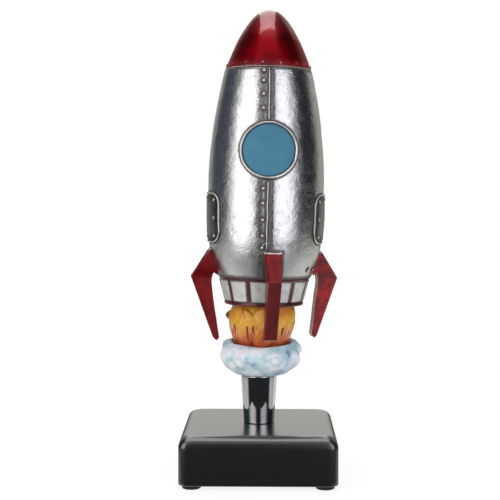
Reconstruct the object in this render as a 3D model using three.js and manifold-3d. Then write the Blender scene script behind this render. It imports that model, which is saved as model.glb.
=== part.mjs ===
// A tin space rocket that stands on its exhaust flame, on a metal column and a square block.
// Millimetres. +Z is up and -Y is the front. The origin is on the floor, under the block's middle.
// Angles around the rocket are in degrees, from the front (-Y) towards the right (+X).
// Heights below are measured from a datum a little under the floor, and lowered at the end.
import * as THREE from "three";
import { mergeVertices } from "three/addons/utils/BufferGeometryUtils.js";
import Module from "manifold-3d";

const wasm = await Module();
wasm.setup();

// ---------------------------------------------------------------- driving dimensions

const GAP = 0.3; // clearance between neighbouring parts
const FLATS = 32; // flats around a large round part
const SMALL_FLATS = 16; // flats around a small round part
const RIVET_FLATS = 6;
const PORTHOLE_FLATS = 24;
const COLUMN_FLATS = 24;
const CLOUD_FLATS = 30; // flats around the flame and the smoke
const SEAT = 0.2; // clearance between the hull and what sits on it
const FLOOR = 1.3; // the floor's height above the datum
const TOOL = { near: 8, far: 45, bottom: 90, top: 240 }; // reach of the cutting shapes, past every surface

const BASE = { half: 40, bottom: 3.3, top: 28.1, corner: 4, topRound: 6, bottomRound: 1 };
const FOOT = { radius: 4.75, top: 3, edge: 0.5, offset: 33.5 };
const ROD = { radius: 3, bore: 3.4, bottom: 4.6, top: 115.4 };
const NUT = { acrossFlats: 10, height: 5 };
const WASHER = { radius: 6.2, height: 1.2 };
const POCKET = { radius: 10, depth: 9 }; // nut pocket under the block
const COLUMN = { bottom: 28.3, top: 53.4, bottomRadius: 8.1, topRadius: 9.4, edge: 0.4 };

// The flame and smoke sit a little off the rod, and more so higher up.
const CLOUD = { bore: 3.5, shift: 0.8, shiftStart: 62.6, shiftPerMm: 0.05 };

// Half sections of the smoke and the flame, as [distance from the rod's axis, z].
const SMOKE_OUTLINE = [
  [CLOUD.bore, 53.8], [13.6, 53.8], [18, 56.2], [20.2, 59.4], [21.2, 62.8], [21.2, 66],
  [20.2, 69.2], [18.2, 71.8], [16.6, 71.4], [15, 69], [14.2, 66.6], [13.2, 65.7],
  [CLOUD.bore, 65.7],
];
const FLAME_OUTLINE = [
  [CLOUD.bore, 66.1], [13, 66.1], [14.4, 69.5], [15.7, 75], [16.9, 81], [17, 85],
  [16, 88.4], [15.2, 90.6], [14.6, 92.6], [CLOUD.bore, 92.6],
];

// The smoke swells in two waves around it, and the flame in one. They twist with height.
const SMOKE_LUMPS = { height: 0.45, innermost: 18 };
const SMOKE_WAVES = [
  { around: 5, twist: 0.35, start: 0, share: 1 },
  { around: 8, twist: -0.5, start: 2, share: 0.7 },
];
const FLAME_LICKS = { height: 0.35, around: 9, twist: 0.12, innermost: 15, below: 90 };

// The rocket leans and stands off the rod, and it is turned on the rod.
const ROCKET = { lean: 1.13, turn: 2.3, offset: 1.77, pivot: 52.5 };
const FIN_TURN = 7.2; // fins and skirt panels, against the seam and porthole

const HULL = { bottom: 105.2, top: 213, wall: 1.2, radius: 30.4, widest: 155, levels: 10, crowding: 1.15 };
const HULL_UPPER = { drop: 7.6, span: 58.3, power: 1.854 };
const HULL_LOWER = { drop: 6, span: 50.1, power: 4.22 };
const NOSE = { bottom: 213.3, radius: 22.6, height: 31.7, wall: 1.2 };
const NOSE_LEVELS = { outside: 8, inside: 4, crowding: 1.7 }; // crowded towards the tip
const COLLAR = { bottom: 208.5, top: 219.5, thickness: 2.1, insideHull: 2.6 };
const NOSE_RIVETS = { count: 15, z: 215.2, first: -9.8 };

const SKIRT = { bottom: 90.6, top: 104.8, bottomRadius: 20.3, topRadius: 24, panels: 12 };
const SKIRT_CORE = { depth: 0.9, band: 1.5, bandProud: 0.2, spigotRadius: 22.4, spigotTop: 107.5 };
const SKIRT_MOUTH = { radius: 17, depth: 2.6 };
const PANEL = { gap: 1, topGap: 0.6, thickness: 0.75, steps: 2 };

// A fin's outline in its own plane, as [distance from the axis, z], in three parts:
// along the root to the knee, round the foot, and back up the inside of the leg.
const FIN = { knee: 104.8, legHalf: 3.4, rootHalf: 4.6, rootTop: 119.6, bevel: 0.5 };
const FIN_ROOT = [[24, FIN.rootTop], [28.6, FIN.rootTop], [38.1, FIN.knee]];
const FIN_FOOT = [[25.9, 71.9], [25, 71.2], [24.3, 72.6]];
const FIN_INSIDE = [
  [27.7, 93.3], [28.8, 102.4], [28.6, 105.6], [27.4, 107.6], [25.6, 106.4], [22, 106.4],
];
const FINS = [
  { side: "front", angle: -1.2, shorter: 2.8, footOut: 0 },
  { side: "right", angle: 90, shorter: 2.2, footOut: 1.7 },
  { side: "rear", angle: 180, shorter: 2, footOut: 0 },
  { side: "left", angle: 270, shorter: 0.8, footOut: 0 },
];
const FIN_TAB = { inner: 24, outer: 30, bottom: 108.5, top: 115, half: 1.5 };

const PORTHOLE = { z: 170.7, outer: 14.8, inner: 13.2, sleeve: 13.9, hole: 14.2, proud: 1.3 };
const SLEEVE_TOP = 0.5; // the porthole sleeve's top above the hull's surface
const PANE_INSET = 0.1; // the pane's face below the hull's surface
const HATCH = { bottom: 123, top: 149, halfWidth: 18.6, corner: 6.5, rim: 1.5 };
const HATCH_PLATE = { face: 0.8, rimFace: 1.3 };
const HATCH_RIVETS = { rows: [126.8, 136, 145.2], spread: 28, ends: [125.8, 146.2] };
const RIVET = { shank: 0.6, head: 1.15, crown: 0.55, height: 0.75, lift: 0.12 };
const RIVET_HOLE = { radius: 0.95, inside: -5, outside: 4 }; // cuts well past both surfaces
const STRIP = { left: -4.6, right: 1.8, thickness: 0.8 };
const STRIP_RIDGE = { web: 0.3, webTop: 0.6, half: 0.8, height: 0.8 };
const TAIL_BOLTS = { angles: [54.7, 66.3], z: 110 };

// Front and rear seams: height range, side of the rocket, and rivets beside the ridge.
const SEAMS = [
  { name: "front_upper_seam_strip", side: 0, from: 186.6, to: 212.7, rivetX: -3,
    rivets: [191.8, 199, 205.8, 211] },
  { name: "front_lower_seam_strip", side: 0, from: 120.1, to: 154.5, rivetX: -2.5,
    rivets: [121.6, 127.6, 135.6, 144, 151.4] },
  { name: "rear_seam_strip", side: 180, from: 120.1, to: 212.7, rivetX: 2.8,
    rivets: evenSteps(123, 210.5, 12) },
];

// ---------------------------------------------------------------- materials

const LOOKS = {
  silver: [0xb9bcc0, 0.32, 0.95],
  panel: [0xcfd0cc, 0.5, 0.55],
  red: [0x8f0d17, 0.22, 0.35],
  darkRed: [0x5a1016, 0.4, 0.3],
  blue: [0x4883a5, 0.55, 0],
  chrome: [0xd0d4d8, 0.08, 1],
  steel: [0x9a9ea3, 0.35, 1],
  flame: [0xe79a26, 0.45, 0],
  smoke: [0xd5e2ea, 0.6, 0],
  black: [0x151515, 0.4, 0],
  rubber: [0x1c1c1c, 0.85, 0],
};

function material(look) {
  const [color, roughness, metalness] = LOOKS[look];
  return new THREE.MeshStandardMaterial({ color, roughness, metalness });
}

// ---------------------------------------------------------------- solids

// One closed solid from any closed geometry: welded, without slivers, facing outwards.
function weld(geometry) {
  const source = geometry.clone();
  source.deleteAttribute("normal");
  source.deleteAttribute("uv");
  const welded = mergeVertices(source, 1e-4);
  const index = welded.index.array;
  const kept = [];
  for (let i = 0; i < index.length; i += 3) {
    const [a, b, c] = [index[i], index[i + 1], index[i + 2]];
    if (a !== b && b !== c && c !== a) kept.push(a, b, c);
  }
  if (signedVolume(welded.attributes.position, kept) < 0) kept.reverse();
  welded.setIndex(kept);
  return welded;
}

function signedVolume(position, index) {
  const [a, b, c] = [new THREE.Vector3(), new THREE.Vector3(), new THREE.Vector3()];
  let sum = 0;
  for (let i = 0; i < index.length; i += 3) {
    a.fromBufferAttribute(position, index[i]);
    b.fromBufferAttribute(position, index[i + 1]);
    c.fromBufferAttribute(position, index[i + 2]);
    sum += a.dot(b.cross(c)) / 6;
  }
  return sum;
}

function toSolid(geometry) {
  const welded = weld(geometry);
  return new wasm.Manifold(new wasm.Mesh({
    numProp: 3,
    vertProperties: new Float32Array(welded.attributes.position.array),
    triVerts: new Uint32Array(welded.index.array),
  }));
}

function toGeometry(solid) {
  const mesh = solid.getMesh();
  const geometry = new THREE.BufferGeometry();
  geometry.setAttribute("position", new THREE.BufferAttribute(mesh.vertProperties, 3));
  geometry.setIndex(new THREE.BufferAttribute(mesh.triVerts, 1));
  return geometry;
}

function union(...geometries) {
  return toGeometry(geometries.map(toSolid).reduce((sum, next) => sum.add(next)));
}

function subtract(geometry, ...tools) {
  return toGeometry(tools.map(toSolid).reduce((left, tool) => left.subtract(tool), toSolid(geometry)));
}

function intersect(first, second) {
  return toGeometry(toSolid(first).intersect(toSolid(second)));
}

// ---------------------------------------------------------------- shapes

const UP = new THREE.Vector3(0, 0, 1);

function evenSteps(from, to, count) {
  return Array.from({ length: count }, (_, i) => from + ((to - from) * i) / (count - 1));
}

// A solid turned about +Z from [radius, z] points. Off-axis outlines close on themselves.
function turned(outline, flats = FLATS) {
  const points = outline.map(([r, z]) => new THREE.Vector2(r, z));
  const closesOnAxis = outline[0][0] === 0 && outline[outline.length - 1][0] === 0;
  if (!closesOnAxis) points.push(points[0].clone());
  return new THREE.LatheGeometry(points, flats).rotateX(Math.PI / 2);
}

function disc(radius, from, to, flats = SMALL_FLATS) {
  return turned([[0, from], [radius, from], [radius, to], [0, to]], flats);
}

function box(xs, ys, zs) {
  const size = [xs, ys, zs].map(([low, high]) => high - low);
  const middle = [xs, ys, zs].map(([low, high]) => (low + high) / 2);
  return new THREE.BoxGeometry(...size).translate(...middle);
}

// Skin over closed loops of points; the ends are closed by fans, or joined to each other.
function skin(loops, joined) {
  const around = loops[0].length;
  const points = loops.flat();
  const index = [];
  const strips = joined ? loops.length : loops.length - 1;
  for (let i = 0; i < strips; i++) {
    const here = i * around;
    const next = ((i + 1) % loops.length) * around;
    for (let j = 0; j < around; j++) {
      const k = (j + 1) % around;
      index.push(here + j, here + k, next + k, here + j, next + k, next + j);
    }
  }
  if (!joined) {
    for (const [start, flip] of [[0, true], [(loops.length - 1) * around, false]]) {
      for (let j = 1; j < around - 1; j++) {
        index.push(start, start + (flip ? j + 1 : j), start + (flip ? j : j + 1));
      }
    }
  }
  const geometry = new THREE.BufferGeometry().setFromPoints(points);
  geometry.setIndex(index);
  return geometry;
}

function roundedSquare(half, corner, z, steps = 4) {
  const loop = [];
  for (let quarter = 0; quarter < 4; quarter++) {
    for (let i = 0; i <= steps; i++) {
      const turn = (Math.PI / 2) * (quarter + i / steps);
      const centre = (Math.PI / 2) * quarter + Math.PI / 4;
      const reach = (half - corner) * Math.SQRT2;
      loop.push(new THREE.Vector3(
        reach * Math.cos(centre) + corner * Math.cos(turn),
        reach * Math.sin(centre) + corner * Math.sin(turn),
        z,
      ));
    }
  }
  return loop;
}

function roundedRectangle(halfWidth, bottom, top, corner) {
  const shape = new THREE.Shape();
  const half = Math.PI / 2;
  shape.absarc(halfWidth - corner, top - corner, corner, 0, half);
  shape.absarc(corner - halfWidth, top - corner, corner, half, 2 * half);
  shape.absarc(corner - halfWidth, bottom + corner, corner, 2 * half, 3 * half);
  shape.absarc(halfWidth - corner, bottom + corner, corner, 3 * half, 4 * half);
  return shape;
}

function circle(radius, z) {
  return new THREE.Shape().absarc(0, z, radius, 0, Math.PI * 2);
}

// A prism that runs outwards from the rocket's axis at an angle around it.
function outwardPrism(shape, angle, curveSegments) {
  const depth = TOOL.far - TOOL.near;
  const prism = new THREE.ExtrudeGeometry(shape, { depth, bevelEnabled: false, curveSegments });
  prism.translate(0, 0, TOOL.near);
  const across = new THREE.Vector3(1, 0, 0);
  const up = new THREE.Vector3(0, 0, 1);
  const outwards = new THREE.Vector3(0, -1, 0);
  prism.applyMatrix4(new THREE.Matrix4().makeBasis(across, up, outwards));
  return prism.rotateZ(THREE.MathUtils.degToRad(angle));
}

// ---------------------------------------------------------------- rocket outline

function hullRadius(z) {
  const side = z > HULL.widest ? HULL_UPPER : HULL_LOWER;
  return HULL.radius - side.drop * (Math.abs(z - HULL.widest) / side.span) ** side.power;
}

function noseRadius(z) {
  return NOSE.radius * Math.sqrt(Math.max(0, 1 - (z - NOSE.bottom) / NOSE.height));
}

function skirtRadius(z) {
  const part = (z - SKIRT.bottom) / (SKIRT.top - SKIRT.bottom);
  return THREE.MathUtils.lerp(SKIRT.bottomRadius, SKIRT.topRadius, part);
}

const HULL_LEVELS = evenSteps(0, 1, HULL.levels).map(
  (t) => THREE.MathUtils.lerp(HULL.bottom, HULL.top, t ** HULL.crowding),
);

// A layer that follows the hull, between two heights above its surface.
function hullLayer(inner, outer) {
  const up = HULL_LEVELS.map((z) => [hullRadius(z) + outer, z]);
  const down = HULL_LEVELS.map((z) => [hullRadius(z) + inner, z]).reverse();
  return turned([...up, ...down]);
}

// A rivet-like solid on the outline, from an outline of [radius, height above the surface].
function studOn(radiusAt, angle, z, outline, flats = RIVET_FLATS) {
  const slope = radiusAt(z + 0.5) - radiusAt(z - 0.5);
  const stud = turned(outline, flats);
  stud.rotateX(Math.PI / 2 - Math.atan(-slope));
  stud.translate(0, -radiusAt(z), z);
  return stud.rotateZ(THREE.MathUtils.degToRad(angle));
}

function rivet(radiusAt, angle, z, root, seat) {
  const base = seat + RIVET.lift;
  return studOn(radiusAt, angle, z, [
    [0, root],
    [RIVET.shank, root],
    [RIVET.shank, base],
    [RIVET.head, base],
    [RIVET.head * RIVET.crown, base + RIVET.height],
    [0, base + RIVET.height],
  ]);
}

function rivetHole(radiusAt, angle, z) {
  const { radius, inside, outside } = RIVET_HOLE;
  return studOn(radiusAt, angle, z, [[0, inside], [radius, inside], [radius, outside], [0, outside]]);
}

function angleAt(x, z) {
  return THREE.MathUtils.radToDeg(Math.asin(x / hullRadius(z)));
}

function seamRivets(seam) {
  return seam.rivets.map((z) => ({ angle: seam.side + angleAt(seam.rivetX, z), z }));
}

function hatchRivets(side) {
  const { rows, spread, ends } = HATCH_RIVETS;
  const columns = rows.flatMap((z) => [{ angle: side - spread, z }, { angle: side + spread, z }]);
  return [...columns, ...ends.map((z) => ({ angle: side, z }))];
}

// ---------------------------------------------------------------- parts of the stand

function baseBlock() {
  const steps = 5;
  const loops = [
    roundedSquare(BASE.half - BASE.bottomRound, BASE.corner, BASE.bottom),
    roundedSquare(BASE.half, BASE.corner, BASE.bottom + BASE.bottomRound),
  ];
  for (const turn of evenSteps(0, Math.PI / 2, steps)) {
    const inset = BASE.topRound * (1 - Math.cos(turn));
    const z = BASE.top - BASE.topRound * (1 - Math.sin(turn));
    loops.push(roundedSquare(BASE.half - inset, BASE.corner, z));
  }
  const pocket = disc(POCKET.radius, BASE.bottom - 1, BASE.bottom + POCKET.depth);
  const bore = disc(ROD.bore, BASE.bottom - 1, BASE.top + 1);
  return subtract(skin(loops, false), pocket, bore);
}

function foot(x, y) {
  const outline = [
    [0, FLOOR],
    [FOOT.radius - FOOT.edge, FLOOR],
    [FOOT.radius, FLOOR + FOOT.edge],
    [FOOT.radius, FOOT.top],
    [0, FOOT.top],
  ];
  return turned(outline, SMALL_FLATS).translate(x, y, 0);
}

function washer(bottom) {
  return turned([
    [ROD.bore, bottom],
    [WASHER.radius, bottom],
    [WASHER.radius, bottom + WASHER.height],
    [ROD.bore, bottom + WASHER.height],
  ], SMALL_FLATS);
}

function nut(bottom) {
  const corner = NUT.acrossFlats / 2 / Math.cos(Math.PI / 6);
  const hexagon = disc(corner, bottom, bottom + NUT.height, 6);
  return subtract(hexagon, disc(ROD.bore, bottom - 1, bottom + NUT.height + 1));
}

function tieRod() {
  return disc(ROD.radius, ROD.bottom, ROD.top);
}

function column() {
  const { bottom, top, bottomRadius, topRadius, edge } = COLUMN;
  return turned([
    [ROD.bore, bottom],
    [bottomRadius - edge, bottom],
    [bottomRadius, bottom + edge],
    [topRadius, top - edge],
    [topRadius - edge, top],
    [ROD.bore, top],
  ], COLUMN_FLATS);
}

// ---------------------------------------------------------------- flame and smoke

function cloudShift(z) {
  return CLOUD.shift + CLOUD.shiftPerMm * Math.max(0, z - CLOUD.shiftStart);
}

// A ring of loops around the rod, with a radius that may swell and shrink around it.
function lumpyRing(outline, flats, swell) {
  const loops = Array.from({ length: flats }, (_, i) => {
    const turn = (2 * Math.PI * i) / flats;
    return outline.map(([r, z]) => {
      const radius = r + swell(r, z, turn);
      const shift = r <= CLOUD.bore ? 0 : cloudShift(z);
      return new THREE.Vector3(radius * Math.cos(turn) + shift, radius * Math.sin(turn), z);
    });
  });
  return skin(loops, true);
}

function smokeRing() {
  return lumpyRing(SMOKE_OUTLINE, CLOUD_FLATS, (r, z, turn) => {
    if (r < SMOKE_LUMPS.innermost) return 0;
    const waves = SMOKE_WAVES.map(
      ({ around, twist, start, share }) => share * Math.sin(around * turn + twist * z + start),
    );
    return SMOKE_LUMPS.height * waves.reduce((sum, wave) => sum + wave);
  });
}

function flame() {
  const { height, around, twist, innermost, below } = FLAME_LICKS;
  return lumpyRing(FLAME_OUTLINE, CLOUD_FLATS, (r, z, turn) => {
    const free = r > innermost && z < below;
    return free ? height * Math.sin(around * turn + twist * z) : 0;
  });
}

// ---------------------------------------------------------------- parts of the rocket

function hullShells() {
  const seams = SEAMS.map((seam) => {
    const front = seam.side === 0;
    const halfSlot = STRIP_RIDGE.web + GAP;
    const ys = front ? [-TOOL.far, -TOOL.near] : [TOOL.near, TOOL.far];
    return box([-halfSlot, halfSlot], ys, [seam.from - GAP, seam.to + GAP]);
  });
  const rivetSpots = SEAMS.flatMap(seamRivets);
  rivetSpots.push(...TAIL_BOLTS.angles.map((angle) => ({ angle, z: TAIL_BOLTS.z })));
  const holes = rivetSpots.map(({ angle, z }) => rivetHole(hullRadius, angle, z));
  const slots = FINS.map(({ angle }) => finTab(GAP).rotateZ(degrees(angle + FIN_TURN)));
  const porthole = outwardPrism(circle(PORTHOLE.hole, PORTHOLE.z), 0, PORTHOLE_FLATS);
  const zs = [TOOL.bottom, TOOL.top];
  const split = box([-GAP / 2, GAP / 2], [-TOOL.far, TOOL.far], zs);
  const whole = subtract(hullLayer(-HULL.wall, 0), split, porthole, ...seams, ...slots, ...holes);
  const right = box([0, TOOL.far], [-TOOL.far, TOOL.far], zs);
  return { left: subtract(whole, right), right: intersect(whole, right) };
}

function seamStrip(seam) {
  const inner = -HULL.wall - GAP;
  const front = (xs) => box(xs, [-TOOL.far, -TOOL.near], [seam.from, seam.to]);
  const flange = intersect(hullLayer(inner - STRIP.thickness, inner), front([STRIP.left, STRIP.right]));
  const { web: webHalf, webTop, half, height } = STRIP_RIDGE;
  const web = intersect(hullLayer(inner - STRIP.thickness / 2, webTop), front([-webHalf, webHalf]));
  const ridge = intersect(hullLayer(RIVET.lift, RIVET.lift + height), front([-half, half]));
  const strip = union(flange, web, ridge);
  if (seam.side !== 0) strip.scale(-1, 1, 1);
  const turnedStrip = weld(strip).rotateZ(degrees(seam.side));
  const root = inner - STRIP.thickness / 2;
  const rivets = seamRivets(seam).map(({ angle, z }) => rivet(hullRadius, angle, z, root, 0));
  return union(turnedStrip, ...rivets);
}

function noseCone() {
  const top = NOSE.bottom + NOSE.height;
  const outside = evenSteps(0, 1, NOSE_LEVELS.outside).map((t) => {
    const z = top - NOSE.height * (1 - t) ** NOSE_LEVELS.crowding;
    return [noseRadius(z), z];
  });
  const insideTop = top - 3 * NOSE.wall;
  const inside = evenSteps(insideTop, NOSE.bottom, NOSE_LEVELS.inside).map(
    (z) => [noseRadius(z) - NOSE.wall, z],
  );
  const shell = turned([[0, insideTop], ...inside, ...outside]);
  return subtract(shell, ...noseRivetAngles().map((angle) => rivetHole(noseRadius, angle, NOSE_RIVETS.z)));
}

function noseRivetAngles() {
  const step = 360 / NOSE_RIVETS.count;
  return Array.from({ length: NOSE_RIVETS.count }, (_, i) => NOSE_RIVETS.first + step * i);
}

function noseCollar() {
  const wall = NOSE.wall + GAP;
  const upper = evenSteps(NOSE.bottom, COLLAR.top, 3).map((z) => [noseRadius(z) - wall, z]);
  const step = NOSE.bottom - GAP;
  const lower = [COLLAR.bottom, step].map((z) => [hullRadius(z) - COLLAR.insideHull, z]);
  const inside = [COLLAR.top, NOSE.bottom, COLLAR.bottom].map((z) => {
    const outer = z >= NOSE.bottom ? noseRadius(z) - wall : hullRadius(z) - COLLAR.insideHull + 1;
    return [outer - COLLAR.thickness, z];
  });
  const ring = turned([...lower, ...upper, ...inside]);
  const root = -wall - COLLAR.thickness / 2;
  const rivets = noseRivetAngles().map((angle) => rivet(noseRadius, angle, NOSE_RIVETS.z, root, 0));
  return union(ring, ...rivets);
}

function portholeBezel() {
  const opening = outwardPrism(circle(PORTHOLE.inner, PORTHOLE.z), 0, PORTHOLE_FLATS);
  const flange = intersect(
    hullLayer(SEAT, PORTHOLE.proud),
    outwardPrism(circle(PORTHOLE.outer, PORTHOLE.z), 0, PORTHOLE_FLATS),
  );
  const sleeve = intersect(
    hullLayer(-HULL.wall - GAP, SLEEVE_TOP),
    outwardPrism(circle(PORTHOLE.sleeve, PORTHOLE.z), 0, PORTHOLE_FLATS),
  );
  return subtract(union(flange, sleeve), opening);
}

function portholePane() {
  const disk = outwardPrism(circle(PORTHOLE.inner - GAP, PORTHOLE.z), 0, PORTHOLE_FLATS);
  return intersect(hullLayer(-HULL.wall, -PANE_INSET), disk);
}

function hatchPrism(side, inset) {
  const { halfWidth, bottom, top, corner } = HATCH;
  const shape = roundedRectangle(halfWidth - inset, bottom + inset, top - inset, corner - inset);
  return outwardPrism(shape, side, 3);
}

function hatch(side) {
  const plate = intersect(hullLayer(SEAT, HATCH_PLATE.face), hatchPrism(side, 0));
  const rimLayer = intersect(hullLayer(SEAT, HATCH_PLATE.rimFace), hatchPrism(side, 0));
  const rim = subtract(rimLayer, hatchPrism(side, HATCH.rim));
  const { face } = HATCH_PLATE;
  const rivets = hatchRivets(side).map(
    ({ angle, z }) => studOn(hullRadius, angle, z, [
      [0, face / 2],
      [RIVET.head, face / 2],
      [RIVET.head, face + RIVET.height * 0.4],
      [RIVET.head * RIVET.crown, face + RIVET.height],
      [0, face + RIVET.height],
    ]),
  );
  return union(plate, rim, ...rivets);
}

function tailBolt(angle) {
  const root = -HULL.wall - GAP - STRIP.thickness;
  const shank = rivet(hullRadius, angle, TAIL_BOLTS.z, root, 0);
  const inside = -HULL.wall - GAP;
  const keeper = studOn(hullRadius, angle, TAIL_BOLTS.z, [
    [0, root], [RIVET.head, root], [RIVET.head, inside], [0, inside],
  ]);
  return union(shank, keeper);
}

// The core shows as the lines between the panels and as the band under them.
function skirtCore() {
  const under = (z) => skirtRadius(z) - SKIRT_CORE.depth;
  const bandTop = SKIRT.bottom + SKIRT_CORE.band;
  const mouthTop = SKIRT.bottom + SKIRT_MOUTH.depth;
  return turned([
    [0, mouthTop],
    [SKIRT_MOUTH.radius, mouthTop],
    [SKIRT_MOUTH.radius, SKIRT.bottom],
    [SKIRT.bottomRadius + SKIRT_CORE.bandProud, SKIRT.bottom],
    [skirtRadius(bandTop) + SKIRT_CORE.bandProud, bandTop],
    [under(bandTop), bandTop],
    [under(SKIRT.top), SKIRT.top],
    [SKIRT_CORE.spigotRadius, SKIRT.top],
    [SKIRT_CORE.spigotRadius, SKIRT_CORE.spigotTop],
    [0, SKIRT_CORE.spigotTop],
  ]);
}

function skirtPanel(number) {
  const bottom = SKIRT.bottom + SKIRT_CORE.band + GAP;
  const top = SKIRT.top - PANEL.topGap;
  const pitch = 360 / SKIRT.panels;
  const half = pitch / 2 - THREE.MathUtils.radToDeg(PANEL.gap / 2 / SKIRT.topRadius);
  const middle = FIN_TURN + pitch * (number + 0.5);
  const corners = [
    [skirtRadius(bottom), bottom],
    [skirtRadius(top), top],
    [skirtRadius(top) - PANEL.thickness, top],
    [skirtRadius(bottom) - PANEL.thickness, bottom],
  ];
  const loops = evenSteps(middle - half, middle + half, PANEL.steps + 1).map((angle) =>
    corners.map(([r, z]) => new THREE.Vector3(0, -r, z).applyAxisAngle(UP, degrees(angle))),
  );
  return skin(loops, false);
}

function fin({ angle, shorter, footOut }) {
  const foot = FIN_FOOT.map(([r, z]) => [r + footOut, z + shorter]);
  const outline = [...FIN_ROOT, ...foot, ...FIN_INSIDE];
  const shape = new THREE.Shape(outline.map(([r, z]) => new THREE.Vector2(r, z)));
  const blade = new THREE.ExtrudeGeometry(shape, {
    depth: 2 * (FIN.legHalf - FIN.bevel),
    bevelEnabled: true,
    bevelThickness: FIN.bevel,
    bevelSize: FIN.bevel,
    bevelOffset: -FIN.bevel,
    bevelSegments: 1,
  });
  blade.translate(0, 0, -(FIN.legHalf - FIN.bevel));
  thickenRoot(blade);
  const outwards = new THREE.Vector3(0, -1, 0);
  const up = new THREE.Vector3(0, 0, 1);
  const across = new THREE.Vector3(-1, 0, 0);
  blade.applyMatrix4(new THREE.Matrix4().makeBasis(outwards, up, across));
  const clearOfHull = subtract(blade, turned([
    [0, HULL.bottom - 10],
    [hullRadius(HULL.bottom) + SEAT, HULL.bottom - 10],
    ...HULL_LEVELS.map((z) => [hullRadius(z) + SEAT, z]),
    [0, HULL.top],
  ]));
  return union(clearOfHull, finTab(0)).rotateZ(degrees(angle + FIN_TURN));
}

// The fin is thicker towards the top of its root.
function thickenRoot(blade) {
  const position = blade.attributes.position;
  for (let i = 0; i < position.count; i++) {
    const rise = Math.max(0, position.getY(i) - FIN.knee) / (FIN.rootTop - FIN.knee);
    position.setZ(i, position.getZ(i) * THREE.MathUtils.lerp(1, FIN.rootHalf / FIN.legHalf, rise));
  }
}

function finTab(clearance) {
  const { inner, outer, bottom, top, half } = FIN_TAB;
  const xs = [-half - clearance, half + clearance];
  return box(xs, [-outer, -inner], [bottom - clearance, top + clearance]);
}

// ---------------------------------------------------------------- assembly

function degrees(angle) {
  return THREE.MathUtils.degToRad(angle);
}

// One named mesh per part, lowered so that the feet stand on z = 0.
function mesh(name, geometry, look) {
  const closed = weld(geometry).translate(0, 0, -FLOOR);
  const flat = closed.toNonIndexed();
  flat.computeVertexNormals();
  const result = new THREE.Mesh(flat, material(look));
  result.name = name;
  return result;
}

function stand() {
  const group = new THREE.Group();
  group.add(mesh("base_block", baseBlock(), "black"));
  const rows = { front: -1, rear: 1 };
  const sides = { left: -1, right: 1 };
  for (const [row, y] of Object.entries(rows)) {
    for (const [side, x] of Object.entries(sides)) {
      group.add(mesh(`foot_${row}_${side}`, foot(x * FOOT.offset, y * FOOT.offset), "rubber"));
    }
  }
  const baseSeat = BASE.bottom + POCKET.depth - GAP;
  const topSeat = SKIRT_CORE.spigotTop + 2 * GAP;
  group.add(mesh("tie_rod", tieRod(), "steel"));
  group.add(mesh("base_washer", washer(baseSeat - WASHER.height), "steel"));
  group.add(mesh("base_nut", nut(baseSeat - WASHER.height - GAP - NUT.height), "steel"));
  group.add(mesh("top_washer", washer(topSeat), "steel"));
  group.add(mesh("top_nut", nut(topSeat + WASHER.height + GAP), "steel"));
  group.add(mesh("column", column(), "chrome"));
  return group;
}

function exhaust() {
  const group = new THREE.Group();
  group.add(mesh("smoke_ring", smokeRing(), "smoke"));
  group.add(mesh("flame", flame(), "flame"));
  return group;
}

// The rod's hole runs straight up, so it is cut once the core has its lean.
function placedInRocket(geometry) {
  const place = new THREE.Matrix4().makeTranslation(ROCKET.offset, 0, ROCKET.pivot);
  place.multiply(new THREE.Matrix4().makeRotationY(degrees(ROCKET.lean)));
  place.multiply(new THREE.Matrix4().makeRotationZ(degrees(ROCKET.turn)));
  place.multiply(new THREE.Matrix4().makeTranslation(0, 0, -ROCKET.pivot));
  return geometry.clone().applyMatrix4(place);
}

function rocket() {
  const group = new THREE.Group();
  const add = (name, geometry, look) => group.add(mesh(name, placedInRocket(geometry), look));
  const rodHole = disc(ROD.bore, SKIRT.bottom - 5, SKIRT_CORE.spigotTop + 5);
  group.add(mesh("skirt_core", subtract(placedInRocket(skirtCore()), rodHole), "darkRed"));
  for (let number = 0; number < SKIRT.panels; number++) {
    add(`skirt_panel_${String(number + 1).padStart(2, "0")}`, skirtPanel(number), "panel");
  }
  for (const shape of FINS) {
    add(`fin_${shape.side}`, fin(shape), "red");
  }
  const shells = hullShells();
  add("hull_left_shell", shells.left, "silver");
  add("hull_right_shell", shells.right, "silver");
  for (const seam of SEAMS) {
    add(seam.name, seamStrip(seam), "silver");
  }
  add("nose_cone", noseCone(), "red");
  add("nose_collar", noseCollar(), "red");
  add("porthole_bezel", portholeBezel(), "silver");
  add("porthole_pane", portholePane(), "blue");
  for (const [side, angle] of Object.entries({ left: -90, right: 90 })) {
    add(`hatch_${side}`, hatch(angle), "silver");
  }
  TAIL_BOLTS.angles.forEach((angle, i) => {
    add(`tail_bolt_${["inner", "outer"][i]}`, tailBolt(angle), "silver");
  });
  return group;
}

const object = new THREE.Group();
object.name = "tin_space_rocket";
object.add(stand(), exhaust(), rocket());

export default object;
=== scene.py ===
"""Looks for the tin space rocket: detailed pieces, painted and metal finishes, studio and camera.

Lengths inside the shape functions are in millimetres, in the rocket's own frame (its axis is Z and
its porthole faces -Y). Angles around it run in degrees from the front (-Y) towards the right (+X).
Heights are measured from a datum a little under the floor, as in the CAD.
"""

import math
import random
from math import atan2, cos, degrees, hypot, pi, radians, sin

import bpy
import numpy as np
from mathutils import Matrix, Vector, noise


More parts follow.
